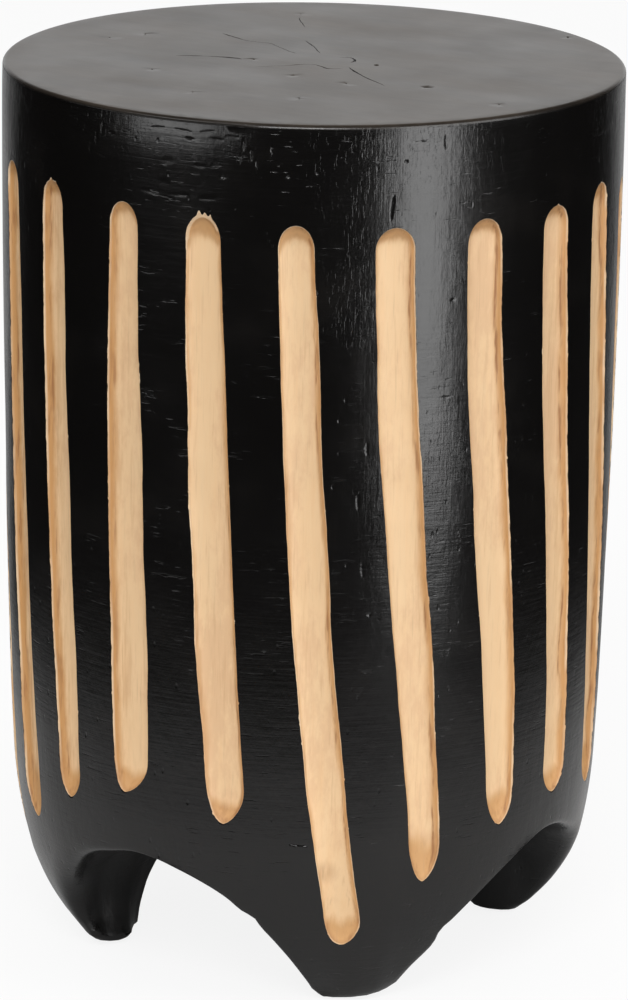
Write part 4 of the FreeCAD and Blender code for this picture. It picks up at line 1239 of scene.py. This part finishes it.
# Light: a pale room, a broad key from the camera's side, and two upright strips that the black finish mirrors
lightValues = {
    "room": 0.66,
    "roomFront": 0.015,  # how bright gloss finds the room towards the camera
    "roomBehind": 1.12,
    "boxes": [  # name, turn and distance from the axis, height of its middle, aim height, width, height, power, lights all or gloss only
        ("keyBox", 27.0, 3.4, 2.9, 0.2, 2.0, 1.6, 104.0, True),
        ("rightFill", 100.0, 2.6, 1.5, 0.3, 1.2, 1.6, 20.0, True),
        ("rightStrip", 70.6, 0.97, 0.62, 0.62, 0.34, 1.2, 6.6, False),
        ("leftStrip", -17.5, 1.85, 0.74, 0.5, 1.0, 0.6, 6.5, False),
    ],
}


def roomLight():
    world = bpy.data.worlds.new("room")
    bpy.context.scene.world = world
    world.use_nodes = True
    graph = Graph(world.node_tree)
    way = graph.add("ShaderNodeTexCoord", {}, {}, "Generated")
    behind = graph.add("ShaderNodeVectorMath", {"operation": "DOT_PRODUCT"}, {0: way, 1: awayLine}, "Value")
    paths = graph.add("ShaderNodeLightPath", {}, {}, "Is Camera Ray")
    gloss = Wire(graph, paths.socket.node.outputs["Is Glossy Ray"])
    s = lightValues
    mirrored = s["roomFront"] + (s["roomBehind"] - s["roomFront"]) * behind.ramp(0.8, 0.95)
    strength = s["room"] + (mirrored - s["room"]) * gloss
    strength = strength + (1.0 - strength) * paths
    back = graph.add("ShaderNodeBackground", {}, {"Color": (1, 1, 1, 1), "Strength": strength})
    end = graph.tree.nodes.new("ShaderNodeOutputWorld")
    graph.tree.links.new(back.socket, end.inputs["Surface"])


def softBoxes():
    for name, turn, distance, height, aim, width, tall, power, lightsAll in lightValues["boxes"]:
        lamp = bpy.data.lights.new(name, "AREA")
        lamp.shape, lamp.size, lamp.size_y, lamp.energy = "RECTANGLE", width, tall, power
        box = bpy.data.objects.new(name, lamp)
        turn = math.radians(turn)
        box.location = (math.sin(turn) * distance, -math.cos(turn) * distance, height)
        box.rotation_euler = (Vector((0, 0, aim)) - box.location).to_track_quat("-Z", "Y").to_euler()
        box.visible_camera = False
        box.visible_diffuse = lightsAll
        bpy.context.scene.collection.objects.link(box)


roomLight()
softBoxes()
print("stage: floor, room light and", len(lightValues["boxes"]), "soft boxes")

# Camera, fitted to the rim, the sides and the feet of the drum
cameraValues = {"distance": 3.036, "height": 1.1235, "turn": 32.5, "swing": -0.0705, "down": 15.98, "roll": 0.943, "lens": 198.6}


def addCamera():
    s = cameraValues
    camera = bpy.data.objects.new("camera", bpy.data.cameras.new("camera"))
    camera.data.lens, camera.data.sensor_width = s["lens"], 36.0
    turn = math.radians(s["turn"])
    place = (math.sin(turn) * s["distance"], -math.cos(turn) * s["distance"], s["height"])
    aim = Matrix.Rotation(math.radians(s["turn"] + s["swing"]), 4, "Z") @ Matrix.Rotation(math.radians(90 - s["down"]), 4, "X")
    camera.matrix_world = Matrix.Translation(place) @ aim @ Matrix.Rotation(math.radians(s["roll"]), 4, "Z")
    bpy.context.scene.collection.objects.link(camera)
    bpy.context.scene.camera = camera


addCamera()
bpy.context.scene.view_settings.view_transform = "Standard"

bpy.context.view_layer.update()
